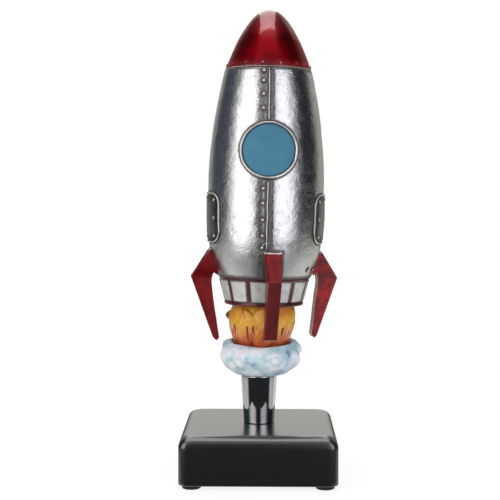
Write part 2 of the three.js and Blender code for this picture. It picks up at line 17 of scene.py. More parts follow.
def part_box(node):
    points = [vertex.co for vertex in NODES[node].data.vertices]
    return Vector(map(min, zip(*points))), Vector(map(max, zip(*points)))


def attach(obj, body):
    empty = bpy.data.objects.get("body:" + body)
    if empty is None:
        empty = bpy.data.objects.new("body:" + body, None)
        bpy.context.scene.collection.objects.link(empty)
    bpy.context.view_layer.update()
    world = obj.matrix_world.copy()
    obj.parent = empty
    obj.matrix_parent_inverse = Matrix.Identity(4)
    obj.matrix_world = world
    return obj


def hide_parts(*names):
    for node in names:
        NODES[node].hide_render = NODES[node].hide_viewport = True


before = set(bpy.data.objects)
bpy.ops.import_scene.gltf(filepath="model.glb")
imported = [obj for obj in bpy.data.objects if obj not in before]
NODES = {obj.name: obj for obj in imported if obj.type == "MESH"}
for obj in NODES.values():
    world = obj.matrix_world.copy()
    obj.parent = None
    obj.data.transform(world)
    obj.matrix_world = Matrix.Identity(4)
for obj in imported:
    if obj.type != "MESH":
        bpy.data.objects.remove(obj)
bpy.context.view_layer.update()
MM = 0.001

# ---------------------------------------- driving dimensions

DENTS = 70  # small dents all over the hull
TIP_Z = 245.0  # the nose tip's height along the rocket's own axis
FLOOR = 1.3  # the floor's height above the datum
HULL = {"bottom": 105.2, "top": 213.0, "radius": 30.4, "widest": 155.0, "wall": 1.0}
HULL_UPPER = {"drop": 7.6, "span": 58.3, "power": 1.854}
HULL_LOWER = {"drop": 6.0, "span": 50.1, "power": 4.22}
NOSE = {"bottom": 213.3, "radius": 22.6, "height": 31.7}
NOSE_RIVETS = {"count": 15, "z": 215.2, "first": -9.8}
PORTHOLE = {"z": 170.7, "outer": 14.8}
HATCH = {"middle": 136.0, "half_height": 13.0, "half_width": 18.6, "corner": 6.5}
HATCH_RIVETS = [(turn, z) for z in (126.8, 136.0, 145.2) for turn in (-28, 28)] + [(0, 125.8), (0, 146.2)]
SKIRT = {"bottom": 90.6, "top": 104.8, "bottom_radius": 20.3, "top_radius": 24.0, "panels": 12}
FIN = {"leg_half": 3.4, "root_half": 4.6, "knee": 104.8, "root_top": 119.6}
# Each fin's angle, how much shorter it is, and how far its foot stands out.
FINS = {"front": (-1.2, 2.8, 0), "right": (90, 2.2, 1.7), "rear": (180, 2.0, 0), "left": (270, 0.8, 0)}
# A fin's outline from its root to its knee, round its foot, and up the inside of its leg.
FIN_ROOT = [(25.6, 106.4), (24.6, 112.0), (27.4, 119.0), (28.7, 119.5), (38.1, 104.8)]
FIN_FOOT = [(25.9, 71.9), (25.0, 71.3), (24.3, 72.6)]
FIN_INSIDE = [(27.7, 93.3), (28.5, 99.5), (28.8, 102.6), (28.6, 104.8), (28.1, 106.8), (27.2, 107.6),
              (26.3, 107.3)]
FLAME = {"bottom": 66.1, "top": 92.6}
FLAME_OUTLINE = [(13.3, 66.2), (14.3, 69.5), (15.7, 75.0), (16.8, 80.0), (17.25, 84.0), (16.5, 87.8),
                 (15.5, 90.6), (14.6, 92.5)]
# Rings of licks: lower end, upper end and how many. Cuts: angle, upper end and lower end.
FLAME_LICKS = [(66, 82, 9), (72, 89, 8), (79, 94, 7)]
FLAME_CUTS = [(-60, 80.8, 75.2), (-27, 80.6, 71.6), (-16, 80.6, 75.4), (41, 79.5, 73.0), (60, 78.6, 73.2)]
STRAY_LICK = {"angle": 266, "half_angle": 6, "z": 84.5, "half_height": 3}
SMOKE_OUTLINE = [(9.6, 54.0), (13.4, 54.1), (17.6, 56.7), (19.9, 59.7), (21.0, 62.8), (21.0, 66.0),
                 (20.2, 69.2), (18.6, 71.4), (16.8, 71.6), (15.2, 70.0), (14.4, 67.4), (13.4, 66.0)]
SMOKE_DROOP = 2.0  # how much lower the smoke's lip is in front
# Puffs: angle, height, size and how far each stands out. Nubs: angle, height and radius.
SMOKE_PUFFS = [(-33, 63.0, 5.5, 0.7), (21, 64.0, 5.0, 0.6), (58, 64.5, 4.2, 0.9), (78, 61.0, 4.5, 0.8),
               (-70, 65.0, 5.0, 0.7), (96, 67.0, 4.5, 0.8)]
SMOKE_NUBS = [(-31, 61.4, 2.5), (22.5, 62.4, 2.2)]
CLOUD = {"shift": 0.8, "shift_start": 62.6, "shift_per_mm": 0.05}
ROD_BORE = 3.5
COLUMN = {"bottom_radius": 8.1, "top_radius": 9.4, "edge": 0.4}
FOOT = {"radius": 4.75, "edge": 0.6}
BASE = {"corner": 4.0, "top_round": 6.0, "bottom_round": 1.0, "pocket_radius": 10, "pocket_depth": 9}
SEAMS = {
    "front_upper": {"side": 0, "from": 186.6, "to": 212.7, "rivet_x": -3.0,
                    "rivets": [191.8, 199.0, 205.8, 211.0]},
    "front_lower": {"side": 0, "from": 120.1, "to": 154.5, "rivet_x": -2.5,
                    "rivets": [121.6, 127.6, 135.6, 144.0, 151.4]},
    "rear": {"side": 180, "from": 120.1, "to": 212.7, "rivet_x": 2.8,
             "rivets": list(np.linspace(123, 210.5, 12))},
}
# Drips of solder on a seam: angle, height and radius.
DRIPS = {"front_lower": [(-3.6, 122.9, 0.5), (-1.2, 123.6, 0.6), (0.6, 122.2, 0.55), (1.8, 123.9, 0.4)]}
TAIL_BOLTS = {"tail_bolt_inner": 54.7, "tail_bolt_outer": 66.3}
TAIL_BOLT_Z = 110.0
CAMERA = {"lens": 81.98, "distance": 600, "height": 149.05, "side": 5.49, "pitch": 1.735, "yaw": 0.975,
          "shift": -0.05}


# ---------------------------------------- where the CAD stands

def corners(node):
    """Every corner of a CAD node, in metres, as an array."""
    vertices = NODES[node].data.vertices
    points = np.empty(len(vertices) * 3)
    vertices.foreach_get("co", points)
    return points.reshape(-1, 3)


def rocket_frame():
    """The rocket's own frame in the row frame: its lean, its turn and its place, read from the CAD."""
    nose_corners = corners("nose_cone")
    tip = Vector(nose_corners[nose_corners[:, 2].argmax()])
    panels = [corners(f"skirt_panel_{number + 1:02d}").mean(0) for number in range(SKIRT["panels"])]
    low = Vector(np.mean(panels, axis=0))
    up = (tip - low).normalized()
    pane = Vector(corners("porthole_pane").mean(0)) - low
    front = (pane - up * pane.dot(up)).normalized()
    right = up.cross(-front).normalized() * -1
    axes = Matrix((right, -front, up)).transposed().to_4x4()
    return Matrix.Translation(tip - up * TIP_Z * MM) @ axes


def fin_turn():
    """How far the fins are turned against the porthole, in degrees."""
    local = ROCKET.inverted() @ Vector(corners("fin_front").mean(0))
    return degrees(atan2(local.x, -local.y)) - FINS["front"][0]


ROCKET = rocket_frame()
FIN_TURN = fin_turn()
UPRIGHT = Matrix.Translation((0, 0, -FLOOR * MM))


# ---------------------------------------- small formulas

def unit(value):
    return max(0.0, min(1.0, value))


def bell(distance, width):
    """1 where the distance is 0, fading to nothing over about two widths."""
    return np.exp(-((distance / width) ** 2))


def fading(distance, width):
    """1 up to the distance 0, and fading beyond it."""
    return bell(np.maximum(distance, 0), width)


def turn_between(angle, other):
    """The turn from one angle to another, from -180 to 180 degrees."""
    return (angle - other + 180) % 360 - 180


def apart(radius, turn, rise):
    """The length over a round surface of a turn about its axis and a rise along it."""
    return hypot(radians(turn_between(turn, 0)) * radius, rise)


def wobble(x, y, z, size):
    """Smooth noise from -1 to 1 with features of about the given size."""
    return noise.noise(Vector((x, y, z)) / size)


def hull_radius(z):
    from_widest = np.abs(np.asarray(z, float) - HULL["widest"])
    upper, lower = (half["drop"] * (from_widest / half["span"]) ** half["power"]
                    for half in (HULL_UPPER, HULL_LOWER))
    return HULL["radius"] - np.where(z > HULL["widest"], upper, lower)


def nose_radius(z):
    part = (np.asarray(z, float) - NOSE["bottom"]) / NOSE["height"]
    return NOSE["radius"] * np.sqrt(np.maximum(0, 1 - part))


def skirt_radius(z):
    part = (z - SKIRT["bottom"]) / (SKIRT["top"] - SKIRT["bottom"])
    return SKIRT["bottom_radius"] + part * (SKIRT["top_radius"] - SKIRT["bottom_radius"])


def cloud_shift(z):
    return CLOUD["shift"] + CLOUD["shift_per_mm"] * max(0, z - CLOUD["shift_start"])


def around(radius, angle, z):
    """A point at a radius, an angle in degrees from the front, and a height."""
    turn = radians(angle)
    return Vector((radius * sin(turn), -radius * cos(turn), z))


def surface_frame(radius_at, angle, z, height=0.0):
    """A frame that stands on an outline: its Z points out of the surface and its Y upwards."""
    slope = float(radius_at(z + 0.5) - radius_at(z - 0.5))
    turn = radians(angle)
    outwards = Vector((sin(turn), -cos(turn), 0))
    normal = (outwards - Vector((0, 0, slope))).normalized()
    across = Vector((cos(turn), sin(turn), 0))
    place = around(float(radius_at(z)), angle, z) + normal * height
    axes = Matrix((across, normal.cross(across), normal)).transposed().to_4x4()
    return Matrix.Translation(place) @ axes


def on_hull(x, z, height, angle=0.0):
    """A point above the hull, given across and up as seen from outside at an angle."""
    radius = float(hull_radius(z))
    turn = atan2(x, math.sqrt(max(0.0, radius**2 - x**2)))
    reach = radius + height
    local = Vector((reach * sin(turn), -reach * cos(turn), z))
    return Matrix.Rotation(radians(angle), 4, "Z") @ local


def rectangle_distance(x, y, half_x, half_y, corner):
    """Signed distance to a rounded rectangle: negative inside."""
    qx = np.abs(x) - half_x + corner
    qy = np.abs(y) - half_y + corner
    outside = np.hypot(np.maximum(qx, 0), np.maximum(qy, 0))
    return outside + np.minimum(np.maximum(qx, qy), 0) - corner


# ---------------------------------------- mesh building

class Shape:
    """Collects points, faces and painted masks, then becomes one piece."""

    def __init__(self):
        self.points = []
        self.faces = []
        self.masks = {}

    def add(self, points, faces, **masks):
        start = len(self.points)
        self.points.extend(Vector(p) for p in points)
        self.faces.extend([i + start for i in face] for face in faces)
        for name in set(self.masks) | set(masks):
            known = self.masks.setdefault(name, [0.0] * start)
            known.extend(masks.get(name, [0.0] * len(points)))

    def cap(self, first, count, flip=False):
        """Closes a ring of points with one face."""
        ring = list(range(first, first + count))
        self.faces.append(ring[::-1] if flip else ring)

    def piece(self, name, node, material, place=ROCKET, body="rocket"):
        """Becomes one piece that stands for a CAD node."""
        mesh = bpy.data.meshes.new(name)
        scaled = place @ Matrix.Scale(MM, 4)
        mesh.from_pydata([scaled @ p for p in self.points], [], self.faces)
        for mask, values in self.masks.items():
            attribute = mesh.attributes.new(mask, "FLOAT", "POINT")
            attribute.data.foreach_set("value", values)
        mesh.validate()
        mesh.shade_smooth()
        mesh.materials.append(material)
        made = bpy.data.objects.new(name, mesh)
        bpy.context.scene.collection.objects.link(made)
        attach(made, body)
        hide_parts(node)
        return made


def grid_faces(rows, columns, join_rows=False, join_columns=False):
    faces = []
    for i in range(rows if join_rows else rows - 1):
        for j in range(columns if join_columns else columns - 1):
            k, n = (i + 1) % rows, (j + 1) % columns
            faces.append([i * columns + j, i * columns + n, k * columns + n, k * columns + j])
    return faces


def turned(outline, steps):
    """Points and faces of an outline of (radius, z) turned about Z; ends may stand on the axis."""
    points = [around(r, 360 * j / steps, z) for r, z in outline for j in range(steps)]
    return points, grid_faces(len(outline), steps, join_columns=True)


def smooth_outline(knots, per_span):
    """A Catmull-Rom curve through (radius, z) knots."""
    knots = [Vector(k) for k in knots]
    ends = [knots[0] * 2 - knots[1], *knots, knots[-1] * 2 - knots[-2]]
    curve = []
    for a, b, c, d in zip(ends, ends[1:], ends[2:], ends[3:]):
        for i in range(per_span):
            t = i / per_span
            curve.append(0.5 * (2 * b + (c - a) * t + (2 * a - 5 * b + 4 * c - d) * t**2
                                + (3 * b - a - 3 * c + d) * t**3))
    return [tuple(p) for p in [*curve, knots[-1]]]


def rounded_corner(centre, radius, start, end, steps=5):
    """Points (radius, z) on an arc round a corner of an outline, from one angle to another."""
    turns = np.radians(np.linspace(start, end, steps))
    return [(centre[0] + radius * cos(t), centre[1] + radius * sin(t)) for t in turns]


def rounded_loop(half_x, half_y, corner, count=112):
    """Points on a rounded rectangle, evenly by angle round each corner and along each side."""
    corner = max(corner, min(0.3, half_x, half_y))
    per_corner = 10
    per_side = count // 4 - per_corner
    signs = [(1, 1), (-1, 1), (-1, -1), (1, -1)]

    def on_corner(quarter, angle):
        side_x, side_y = signs[quarter % 4]
        turn = radians(angle)
        return (side_x * (half_x - corner) + corner * cos(turn),
                side_y * (half_y - corner) + corner * sin(turn))

    loop = []
    for quarter in range(4):
        loop += [on_corner(quarter, 90 * quarter + 90 * i / per_corner) for i in range(per_corner)]
        x0, y0 = on_corner(quarter, 90 * quarter + 90)
        x1, y1 = on_corner(quarter + 1, 90 * quarter + 90)
        for t in (i / per_side for i in range(per_side)):
            loop.append((x0 + (x1 - x0) * t, y0 + (y1 - y0) * t))
    return loop


def add_dome(shape, place, radius, height, tilt=0.0, top_glint=0.0):
    """A rivet head: a low dome with a short upright edge, slightly out of true, with a painted highlight on
    its top where asked.
    """
    segments, rings = 18, 6
    edge, foot, depth = height * 0.22, radius * 1.08, -0.25
    turns = [2 * pi * j / segments for j in range(segments)]
    points = [place @ Vector((foot * cos(t), foot * sin(t), depth)) for t in turns]
    tops = [0.0] * segments
    for i in range(rings + 1):
        rise = pi / 2 * i / rings
        z = edge + (height - edge) * sin(rise)
        for t in turns:
            out = radius * cos(rise) * (1 + 0.05 * sin(3 * t + tilt))
            points.append(place @ Vector((out * cos(t), out * sin(t), z)))
            tops.append(sin(rise))
    faces = grid_faces(rings + 2, segments, join_columns=True)
    shape.add(points, faces, edge=tops, bare=[top_glint * top**2 for top in tops])


# ---------------------------------------- hull

def angle_at(x, z):
    return degrees(math.asin(x / float(hull_radius(z))))


def seam_rivets(seam):
    return [(seam["side"] + angle_at(seam["rivet_x"], z), z) for z in seam["rivets"]]


def hull_fields(angle, z):
    """Relief in millimetres, and darkening from 0 to 1 at points of the hull: partly dirt and patina, partly
    painted shade.
    """
    radius = hull_radius(z)
    turn = np.radians(angle)
    x, y = radius * np.sin(turn), -radius * np.cos(turn)
    relief = np.zeros_like(x)

    def across(other):
        """Distance round the hull from an angle."""
        return np.radians(turn_between(angle, other)) * radius

    rng = random.Random(11)
    for _ in range(DENTS):
        dent_angle, dent_z = rng.uniform(-180, 180), rng.uniform(108, 210)
        size, depth = rng.uniform(1.2, 5.0), rng.uniform(0.03, 0.16)
        relief -= depth * bell(np.hypot(across(dent_angle), z - dent_z), size)

    hatch_edge = rectangle_distance(y, z - HATCH["middle"], HATCH["half_width"], HATCH["half_height"],
                                    HATCH["corner"])
    porthole_edge = np.hypot(x, z - PORTHOLE["z"]) - PORTHOLE["outer"]
    # Darkening round the hatches, the porthole and the hull's ends, where parts meet, is partly dirt and
    # partly painted shade: how dark it is, where it is, and how far it spreads.
    grime = [0.9 * fading(hatch_edge, 1.0), np.where(y < 0, 0.95 * fading(porthole_edge, 0.9), 0),
             0.75 * bell(HULL["top"] - z, 1.6), 0.9 * bell(z - HULL["bottom"], 1.8)]

    # Each rivet's angle, height and dirt. It stands in a shallow dent.
    rivets = [(*spot, 0.95) for seam in SEAMS.values() for spot in seam_rivets(seam)]
    rivets += [(bolt, TAIL_BOLT_Z, 0.5) for bolt in TAIL_BOLTS.values()]
    for rivet_angle, rivet_z, dirt in rivets:
        distance = np.hypot(across(rivet_angle), z - rivet_z)
        relief -= 0.16 * bell(distance, 2.0)
        grime.append(dirt * fading(distance - 1.2, 1.1))

    # Along its ridge a seam carries a painted shadow line, and round its rivets dark patina, with a shallow
    # dip beside the ridge.
    for seam in SEAMS.values():
        facing = np.sign(-y) if seam["side"] == 0 else np.sign(y)
        along = np.maximum(np.maximum(seam["from"] - z, z - seam["to"]), 0)
        from_ridge = np.hypot(x, along)
        beside = 0.44 * bell(x - seam["rivet_x"] * facing, 2.2) * bell(along, 1.5)
        grime.append(np.where(facing > 0, np.maximum(fading(from_ridge - 0.6, 1.5), beside), 0))
        relief -= np.where(facing > 0, 0.25 * bell(from_ridge - 1.4, 0.7), 0)

    # Painted shade beside each fin's root.
    for side in range(4):
        beside_root = np.maximum(np.abs(across(90 * side + FIN_TURN)) - FIN["root_half"], 0)
        grime.append(0.85 * bell(np.hypot(beside_root, np.maximum(z - FIN["root_top"], 0)), 1.3))
    return relief, np.maximum.reduce(grime)


def hull_half(name, node, first_angle, material):
    rows, columns = 150, 130
    levels = np.linspace(HULL["bottom"] - 0.2, HULL["top"], rows)
    angles, heights = np.meshgrid(np.linspace(first_angle, first_angle + 180, columns), levels)
    reliefs, grime = hull_fields(angles, heights)
    points = []
    for angle, z, relief in zip(angles.ravel(), heights.ravel(), reliefs.ravel()):
        radius = float(hull_radius(z))
        base = around(radius, angle, z)
        lift = relief + 0.13 * wobble(*base, 17) + 0.05 * wobble(*base, 5)
        lift -= 0.35 * bell(min(levels[-1] - z, z - levels[0]), 0.5)
        points.append(around(radius + lift, angle, z))
    # Greyer and rougher towards the bottom of the hull.
    age = np.clip((128 - heights) / 18, 0, 1)
    shape = Shape()
    shape.add(points, grid_faces(rows, columns), grime=grime.ravel().tolist(), age=age.ravel().tolist())
    half = shape.piece(name, node, material)
    thick = half.modifiers.new("wall", "SOLIDIFY")
    thick.thickness = HULL["wall"] * MM
    thick.offset = -1


def seam_piece(name, seam, material):
    """The raised double ridge over a seam, with the rivets beside it."""
    # The trim is painted pale on this section's crest and dark on its flanks: the pale crest is rubbed metal
    # and also a painted highlight, the dark flank beside it a painted shadow line.
    section = [(-0.72, -0.3), (-0.66, 0.1), (-0.42, 0.45), (-0.15, 0.6), (0.08, 0.3), (0.24, 0.28),
               (0.42, 0.36), (0.62, 0.15), (0.72, -0.3)]
    side = seam["side"]
    levels = np.linspace(seam["from"], seam["to"], int((seam["to"] - seam["from"]) * 1.6))
    points, edges = [], []
    for z in levels:
        fade = min(1, 0.25 + min(z - levels[0], levels[-1] - z) / 1.2)
        drift = 0.22 * wobble(3, side, z, 9) + 0.1 * wobble(8, side, z, 2.5)
        swell = 1 + 0.25 * wobble(5, side, z, 4)
        for x, height in section:
            lift = height * fade * (1 + 0.3 * wobble(x * 4, 2, z, 3)) if height > 0 else height
            points.append(around(float(hull_radius(z)) + lift, side + angle_at(x * swell + drift, z), z))
            edges.append(unit((height - 0.2) / 0.4))
    shape = Shape()
    shape.add(points, grid_faces(len(levels), len(section)), edge=edges)
    for angle, z in seam_rivets(seam):
        add_dome(shape, surface_frame(hull_radius, angle, z, -0.05), 0.9, 0.8, tilt=z)
    for angle, z, size in DRIPS.get(name, []):
        add_dome(shape, surface_frame(hull_radius, angle, z, -0.1), size, size * 0.7, tilt=z)
    shape.piece(f"{name}_seam_and_rivets", f"{name}_seam_strip", material)


def tail_bolt(name, angle, material):
    shape = Shape()
    add_dome(shape, surface_frame(hull_radius, angle, TAIL_BOLT_Z, -0.05), 1.05, 0.8, tilt=angle)
    shape.piece(f"{name}_head", name, material)


# ---------------------------------------- porthole and hatches

def porthole_bezel(material):
    # Radius, height above the hull, and how pale the metal is painted there: rubbed metal, and also a painted
    # highlight on the crest and inner wall.
    section = [(14.9, -0.5, 0), (14.82, 0.12, 0), (14.6, 0.16, 0), (14.48, 0.6, 0.45), (14.3, 1.0, 1),
               (14.05, 1.22, 1), (13.75, 1.22, 1), (13.5, 0.98, 0.95), (13.36, 0.55, 0.6),
               (13.26, 0.3, 0.1), (13.12, -0.6, 0)]
    steps = 128
    points, edges = [], []
    for turn in (2 * pi * j / steps for j in range(steps)):
        x, z = cos(turn), sin(turn)
        for radius, height, bright in section:
            out = radius + 0.1 * wobble(x * 9, z * 9, radius, 3)
            lift = height + (0.12 * wobble(x * 14, z * 14, 4, 3) if height > 0 else 0)
            points.append(on_hull(out * x, PORTHOLE["z"] + out * z, lift))
            edges.append(bright)
    shape = Shape()
    shape.add(points, grid_faces(steps, len(section), join_rows=True), edge=edges)
    shape.piece("porthole_rim", "porthole_bezel", material)


def porthole_pane(material):
    rings, steps = 26, 72
    outer, innermost = 13.3, 0.02
    points, grime = [], []
    for i in range(rings):
        radius = outer * (i + innermost) / (rings - 1 + innermost)
        for turn in (2 * pi * j / steps for j in range(steps)):
            x, z = radius * cos(turn), radius * sin(turn)
            points.append(on_hull(x, PORTHOLE["z"] + z, 0.12 + 0.04 * wobble(x, z, 1, 4)))
            # Darker towards the rim: a painted shadow of the bezel.
            grime.append(max(0.0, (radius - 12.2) / 1.1))
    shape = Shape()
    shape.add(points, grid_faces(rings, steps, join_columns=True), grime=grime)
    shape.cap(0, steps)
    shape.piece("porthole_glass_disc", "porthole_pane", material)


def hatch(name, node, angle, material):
    """A hatch plate that follows the hull, with a thin raised rim and rivets."""
    # Inset from the outline, height above the hull, how bright it is rubbed, and its dirt.
    section = [(0.0, -0.3, 0, 0.9), (0.0, 0.35, 0, 0.8), (0.15, 0.7, 0.5, 0.2), (0.38, 0.95, 0.9, 0),
               (0.65, 0.85, 0.5, 0.5), (0.85, 0.55, 0, 1), (1.5, 0.5, 0, 1), (3.0, 0.58, 0, 0.75),
               (4.5, 0.66, 0, 0.55), (6.0, 0.7, 0, 0.45), (8.0, 0.72, 0, 0.4), (10.0, 0.74, 0, 0.4),
               (11.8, 0.75, 0, 0.4), (12.97, 0.75, 0, 0.4)]
    points, edges, grime = [], [], []
    for inset, height, bright, dirt in section:
        halves = HATCH["half_width"] - inset, HATCH["half_height"] - inset
        loop = rounded_loop(*halves, HATCH["corner"] - inset)
        for x, z in loop:
            lift = height + (0.14 * wobble(x, z, angle, 5) if height > 0 else 0)
            points.append(on_hull(x, HATCH["middle"] + z, lift, angle))
            edges.append(bright)
            grime.append(dirt)
    shape = Shape()
    shape.add(points, grid_faces(len(section), len(loop), join_columns=True), edge=edges, grime=grime)
    shape.cap(len(points) - len(loop), len(loop))
    for turn, z in HATCH_RIVETS:
        add_dome(shape, surface_frame(hull_radius, angle + turn, z, 0.5), 0.9, 0.5, tilt=z + turn)
    shape.piece(name, node, material)


# ---------------------------------------- nose

def nose(material):
    radius, bottom = NOSE["radius"], NOSE["bottom"]
    outline = [(radius - 1.3, bottom + 1.2), (radius - 1.1, bottom + 0.1), (radius - 0.35, bottom - 0.05),
               (radius + 0.02, bottom + 0.25)]
    for part in np.linspace(0.02, 1, 70):
        z = bottom + NOSE["height"] * (1 - (1 - part) ** 1.8)
        outline.append((float(nose_radius(z)), z))
    points, faces = turned(outline, 144)
    pitch = 360 / NOSE_RIVETS["count"]
    moved, bare, gloss, patina = [], [], [], []
    for p in points:
        radius = hypot(p.x, p.y)
        height = p.z - bottom
        swell = 0.14 * wobble(*p, 12) + 0.05 * wobble(*p, 4)
        scale = 1 + swell * min(1, radius / 6) / max(radius, 1)
        moved.append((p.x * scale, p.y * scale, p.z + 0.12 * wobble(p.x, p.y, 3, 5) * bell(height, 1.0)))
        turn = degrees(atan2(p.x, -p.y)) - NOSE_RIVETS["first"]
        gap = radians((turn + pitch / 2) % pitch - pitch / 2) * radius
        rivet_shadow = 0.95 * fading(hypot(gap, p.z - NOSE_RIVETS["z"]) - 0.9, 0.7)
        # Bare metal at the lower edge and dark patina just above it, a painted shadow round the rivets,
        # painted shade darker towards the tip, and a glossy tip.
        bare.append(0.85 * bell(height, 0.3))
        gloss.append(0.1 + 0.9 * unit((height - 14) / 6))
        patina.append(max(0.8 * bell(height, 2.6), rivet_shadow) + 0.45 * unit((height - 17) / 8))
    shape = Shape()
    shape.add(moved, faces, bare=bare, gloss=gloss, patina=patina)
    shape.piece("nose_shell", "nose_cone", material)


def nose_rivets(material):
    """The nose's rivets, on the collar inside it."""
    radius, bottom = NOSE["radius"], NOSE["bottom"]
    ring = [(radius - 1.6, bottom - 3), (radius - 1.5, bottom + 0.4), (radius - 2.6, bottom + 4),
            (radius - 3.6, bottom + 4), (radius - 3.0, bottom - 3), (radius - 1.6, bottom - 3)]
    shape = Shape()
    shape.add(*turned(ring, 96))
    for number in range(NOSE_RIVETS["count"]):
        angle = NOSE_RIVETS["first"] + 360 / NOSE_RIVETS["count"] * number
        place = surface_frame(nose_radius, angle, NOSE_RIVETS["z"], -0.05)
        # The tops of these rivets are painted pale: a painted highlight.
        add_dome(shape, place, 0.9, 0.5, tilt=angle, top_glint=0.62)
    shape.piece("nose_rivets", "nose_collar", material)


# ---------------------------------------- skirt

def skirt_core(material):
    """The dark red band under the panels, and the core that shows between them."""
    bottom, top = SKIRT["bottom"], SKIRT["top"]
    low, high = SKIRT["bottom_radius"], SKIRT["top_radius"]
    band_top = bottom + 1.5
    outline = [(15.4, bottom + 2.6), (16.8, bottom + 2.4), (17.1, bottom + 0.9)]
    outline += rounded_corner((17.7, bottom + 0.6), 0.6, 180, 270)
    outline += rounded_corner((low - 0.25, bottom + 0.7), 0.65, 270, 380, 7)
    outline += [(skirt_radius(band_top) + 0.1, band_top), (skirt_radius(bottom + 1.9) - 0.5, bottom + 1.9),
                (skirt_radius(bottom + 3) - 0.55, bottom + 3), (high - 0.6, top - 0.9),
                (high - 0.25, top - 0.4), (high - 0.1, top), (high - 0.8, top + 0.5), (high - 1.8, top + 2)]
    points, faces = turned(outline, 192)
    moved = []
    for p in points:
        scale = 1 + (0.1 * wobble(*p, 6) + 0.05 * wobble(*p, 2)) / hypot(p.x, p.y)
        moved.append((p.x * scale, p.y * scale, p.z + 0.12 * wobble(*p, 7)))
    shape = Shape()
    shape.add(moved, faces)
    shape.piece("skirt_band_and_core", "skirt_core", material)


def skirt_panel(number, material):
    """One pale panel: a slightly pillowed plate with soft edges."""
    bottom, top = SKIRT["bottom"] + 1.8, SKIRT["top"] - 0.55
    pitch = 360 / SKIRT["panels"]
    middle = FIN_TURN + pitch * (number + 0.5)
    rows, columns, gap = 26, 26, 0.55
    points, grime = [], []
    for z in np.linspace(bottom, top, rows):
        radius = skirt_radius(z)
        half = radians(pitch / 2) * radius - gap
        for u in np.linspace(-1, 1, columns):
            rim = min(half * (1 - abs(u)), z - bottom, top - z)
            angle = middle + degrees(u * half / radius)
            p = around(radius, angle, z)
            lift = 0.02 - 0.75 * bell(rim, 0.45) + 0.16 * wobble(*p, 5) + 0.08 * wobble(*p, 1.8)
            points.append(around(radius + lift, angle, z))
            # Darker towards each panel's edges: painted shade.
            grime.append(bell(rim, 1.15))
    shape = Shape()
    shape.add(points, grid_faces(rows, columns), grime=grime)
    name = f"skirt_panel_{number + 1:02d}"
    shape.piece(f"{name}_plate", name, material)


# ---------------------------------------- fins

def finely(outline, step=0.9):
    """The closed outline cut into short spans."""
    fine = []
    for (x0, z0), (x1, z1) in zip(outline, outline[1:] + outline[:1]):
        spans = max(1, round(hypot(x1 - x0, z1 - z0) / step))
        fine += [(x0 + (x1 - x0) * i / spans, z0 + (z1 - z0) * i / spans) for i in range(spans)]
    return fine


def fin(side, angle, shorter, foot_out, material):
    """A bent fin: flat sides, soft worn edges, thicker at its root."""
    outline = finely(FIN_ROOT + [(x + foot_out, z + shorter) for x, z in FIN_FOOT] + FIN_INSIDE)
    count = len(outline)
    # Part of the way from the middle to a flat side, and inset of the outline there.
    layers = [(-1.0, 0.5), (-0.985, 0.2), (-0.92, 0.04), (-0.8, 0.0), (-0.4, 0.0), (0.0, 0.0), (0.4, 0.0),
              (0.8, 0.0), (0.92, 0.04), (0.985, 0.2), (1.0, 0.5)]
    foot_x, foot_z = FIN_FOOT[0]
    leg_slope = 0.371 - foot_out / 33  # the leg's front edge: outwards for each step up
    leg_inset, inside_limit, worn_height, side_end = 1.5, 30, 1.3, 0.8
    normals = []
    for i in range(count):
        along = (Vector(outline[(i + 1) % count]) - Vector(outline[i - 1])).normalized()
        normals.append(Vector((-along.y, along.x)))
    points, edges, bare, gloss, patina = [], [], [], [], []
    for across, inset in layers:
        for (x, z), normal in zip(outline, normals):
            inwards = inset + 0.08 * wobble(x, across * 4 + angle, z, 4)
            x_in, z_in = x + normal.x * inwards, z + normal.y * inwards
            rise = max(0.0, z_in - FIN["knee"]) / (FIN["root_top"] - FIN["knee"])
            half = FIN["leg_half"] + (FIN["root_half"] - FIN["leg_half"]) * rise
            points.append((x_in, across * half, z_in))
            leg = foot_x + foot_out + leg_slope * (z - foot_z) - leg_inset
            on_edge = 0.9 < abs(across) < 1
            inside = x < min(inside_limit, leg) and z < FIN_INSIDE[-1][1]
            front_leg = z < FIN["knee"] and x > leg
            worn_root = 0.75 if z > FIN["root_top"] - worn_height else 0.0
            edges.append(1.0 if on_edge else 0.0)
            bare.append(0.75 if inside and abs(across) <= 0.985 else worn_root)
            gloss.append(0.5 if z > FIN["knee"] and abs(across) <= side_end and not inside else 0.2)
            # Dark on the bevelled edges and along the front of the leg: painted shade.
            patina.append(0.7 if on_edge else 0.6 if front_leg and abs(across) < 0.9 else 0.0)
    shape = Shape()
    turn = Matrix.Rotation(radians(angle + FIN_TURN - 90), 4, "Z")
    faces = grid_faces(len(layers), count, join_columns=True)
    shape.add([turn @ Vector(p) for p in points], faces, edge=edges, bare=bare, gloss=gloss, patina=patina)
    knees = sorted(i for i, (x, z) in enumerate(outline) if z == FIN["knee"])
    lower = list(range(knees[0], knees[1] + 1))
    upper = list(range(knees[1], count)) + list(range(knees[0] + 1))
    for loop in (lower, upper):
        shape.faces.append(loop[::-1])
        shape.faces.append([i + len(points) - count for i in loop])
    made = shape.piece(f"fin_{side}_blade", f"fin_{side}", material)
    for face in made.data.polygons:
        face.use_smooth = face.loop_total == 4


# ---------------------------------------- flame and smoke

def flame_cuts():
    """The cuts that show in front, and more of the same kind all round the back."""
    rng = random.Random(11)
    cuts = [(angle, high, low, rng.uniform(-6, 6)) for angle, high, low in FLAME_CUTS]
    for angle in range(84, 290, 17):
        high = rng.uniform(76, 82)
        cuts.append((angle + rng.uniform(-4, 4), high, high - rng.uniform(3, 7), rng.uniform(-6, 6)))
    return cuts


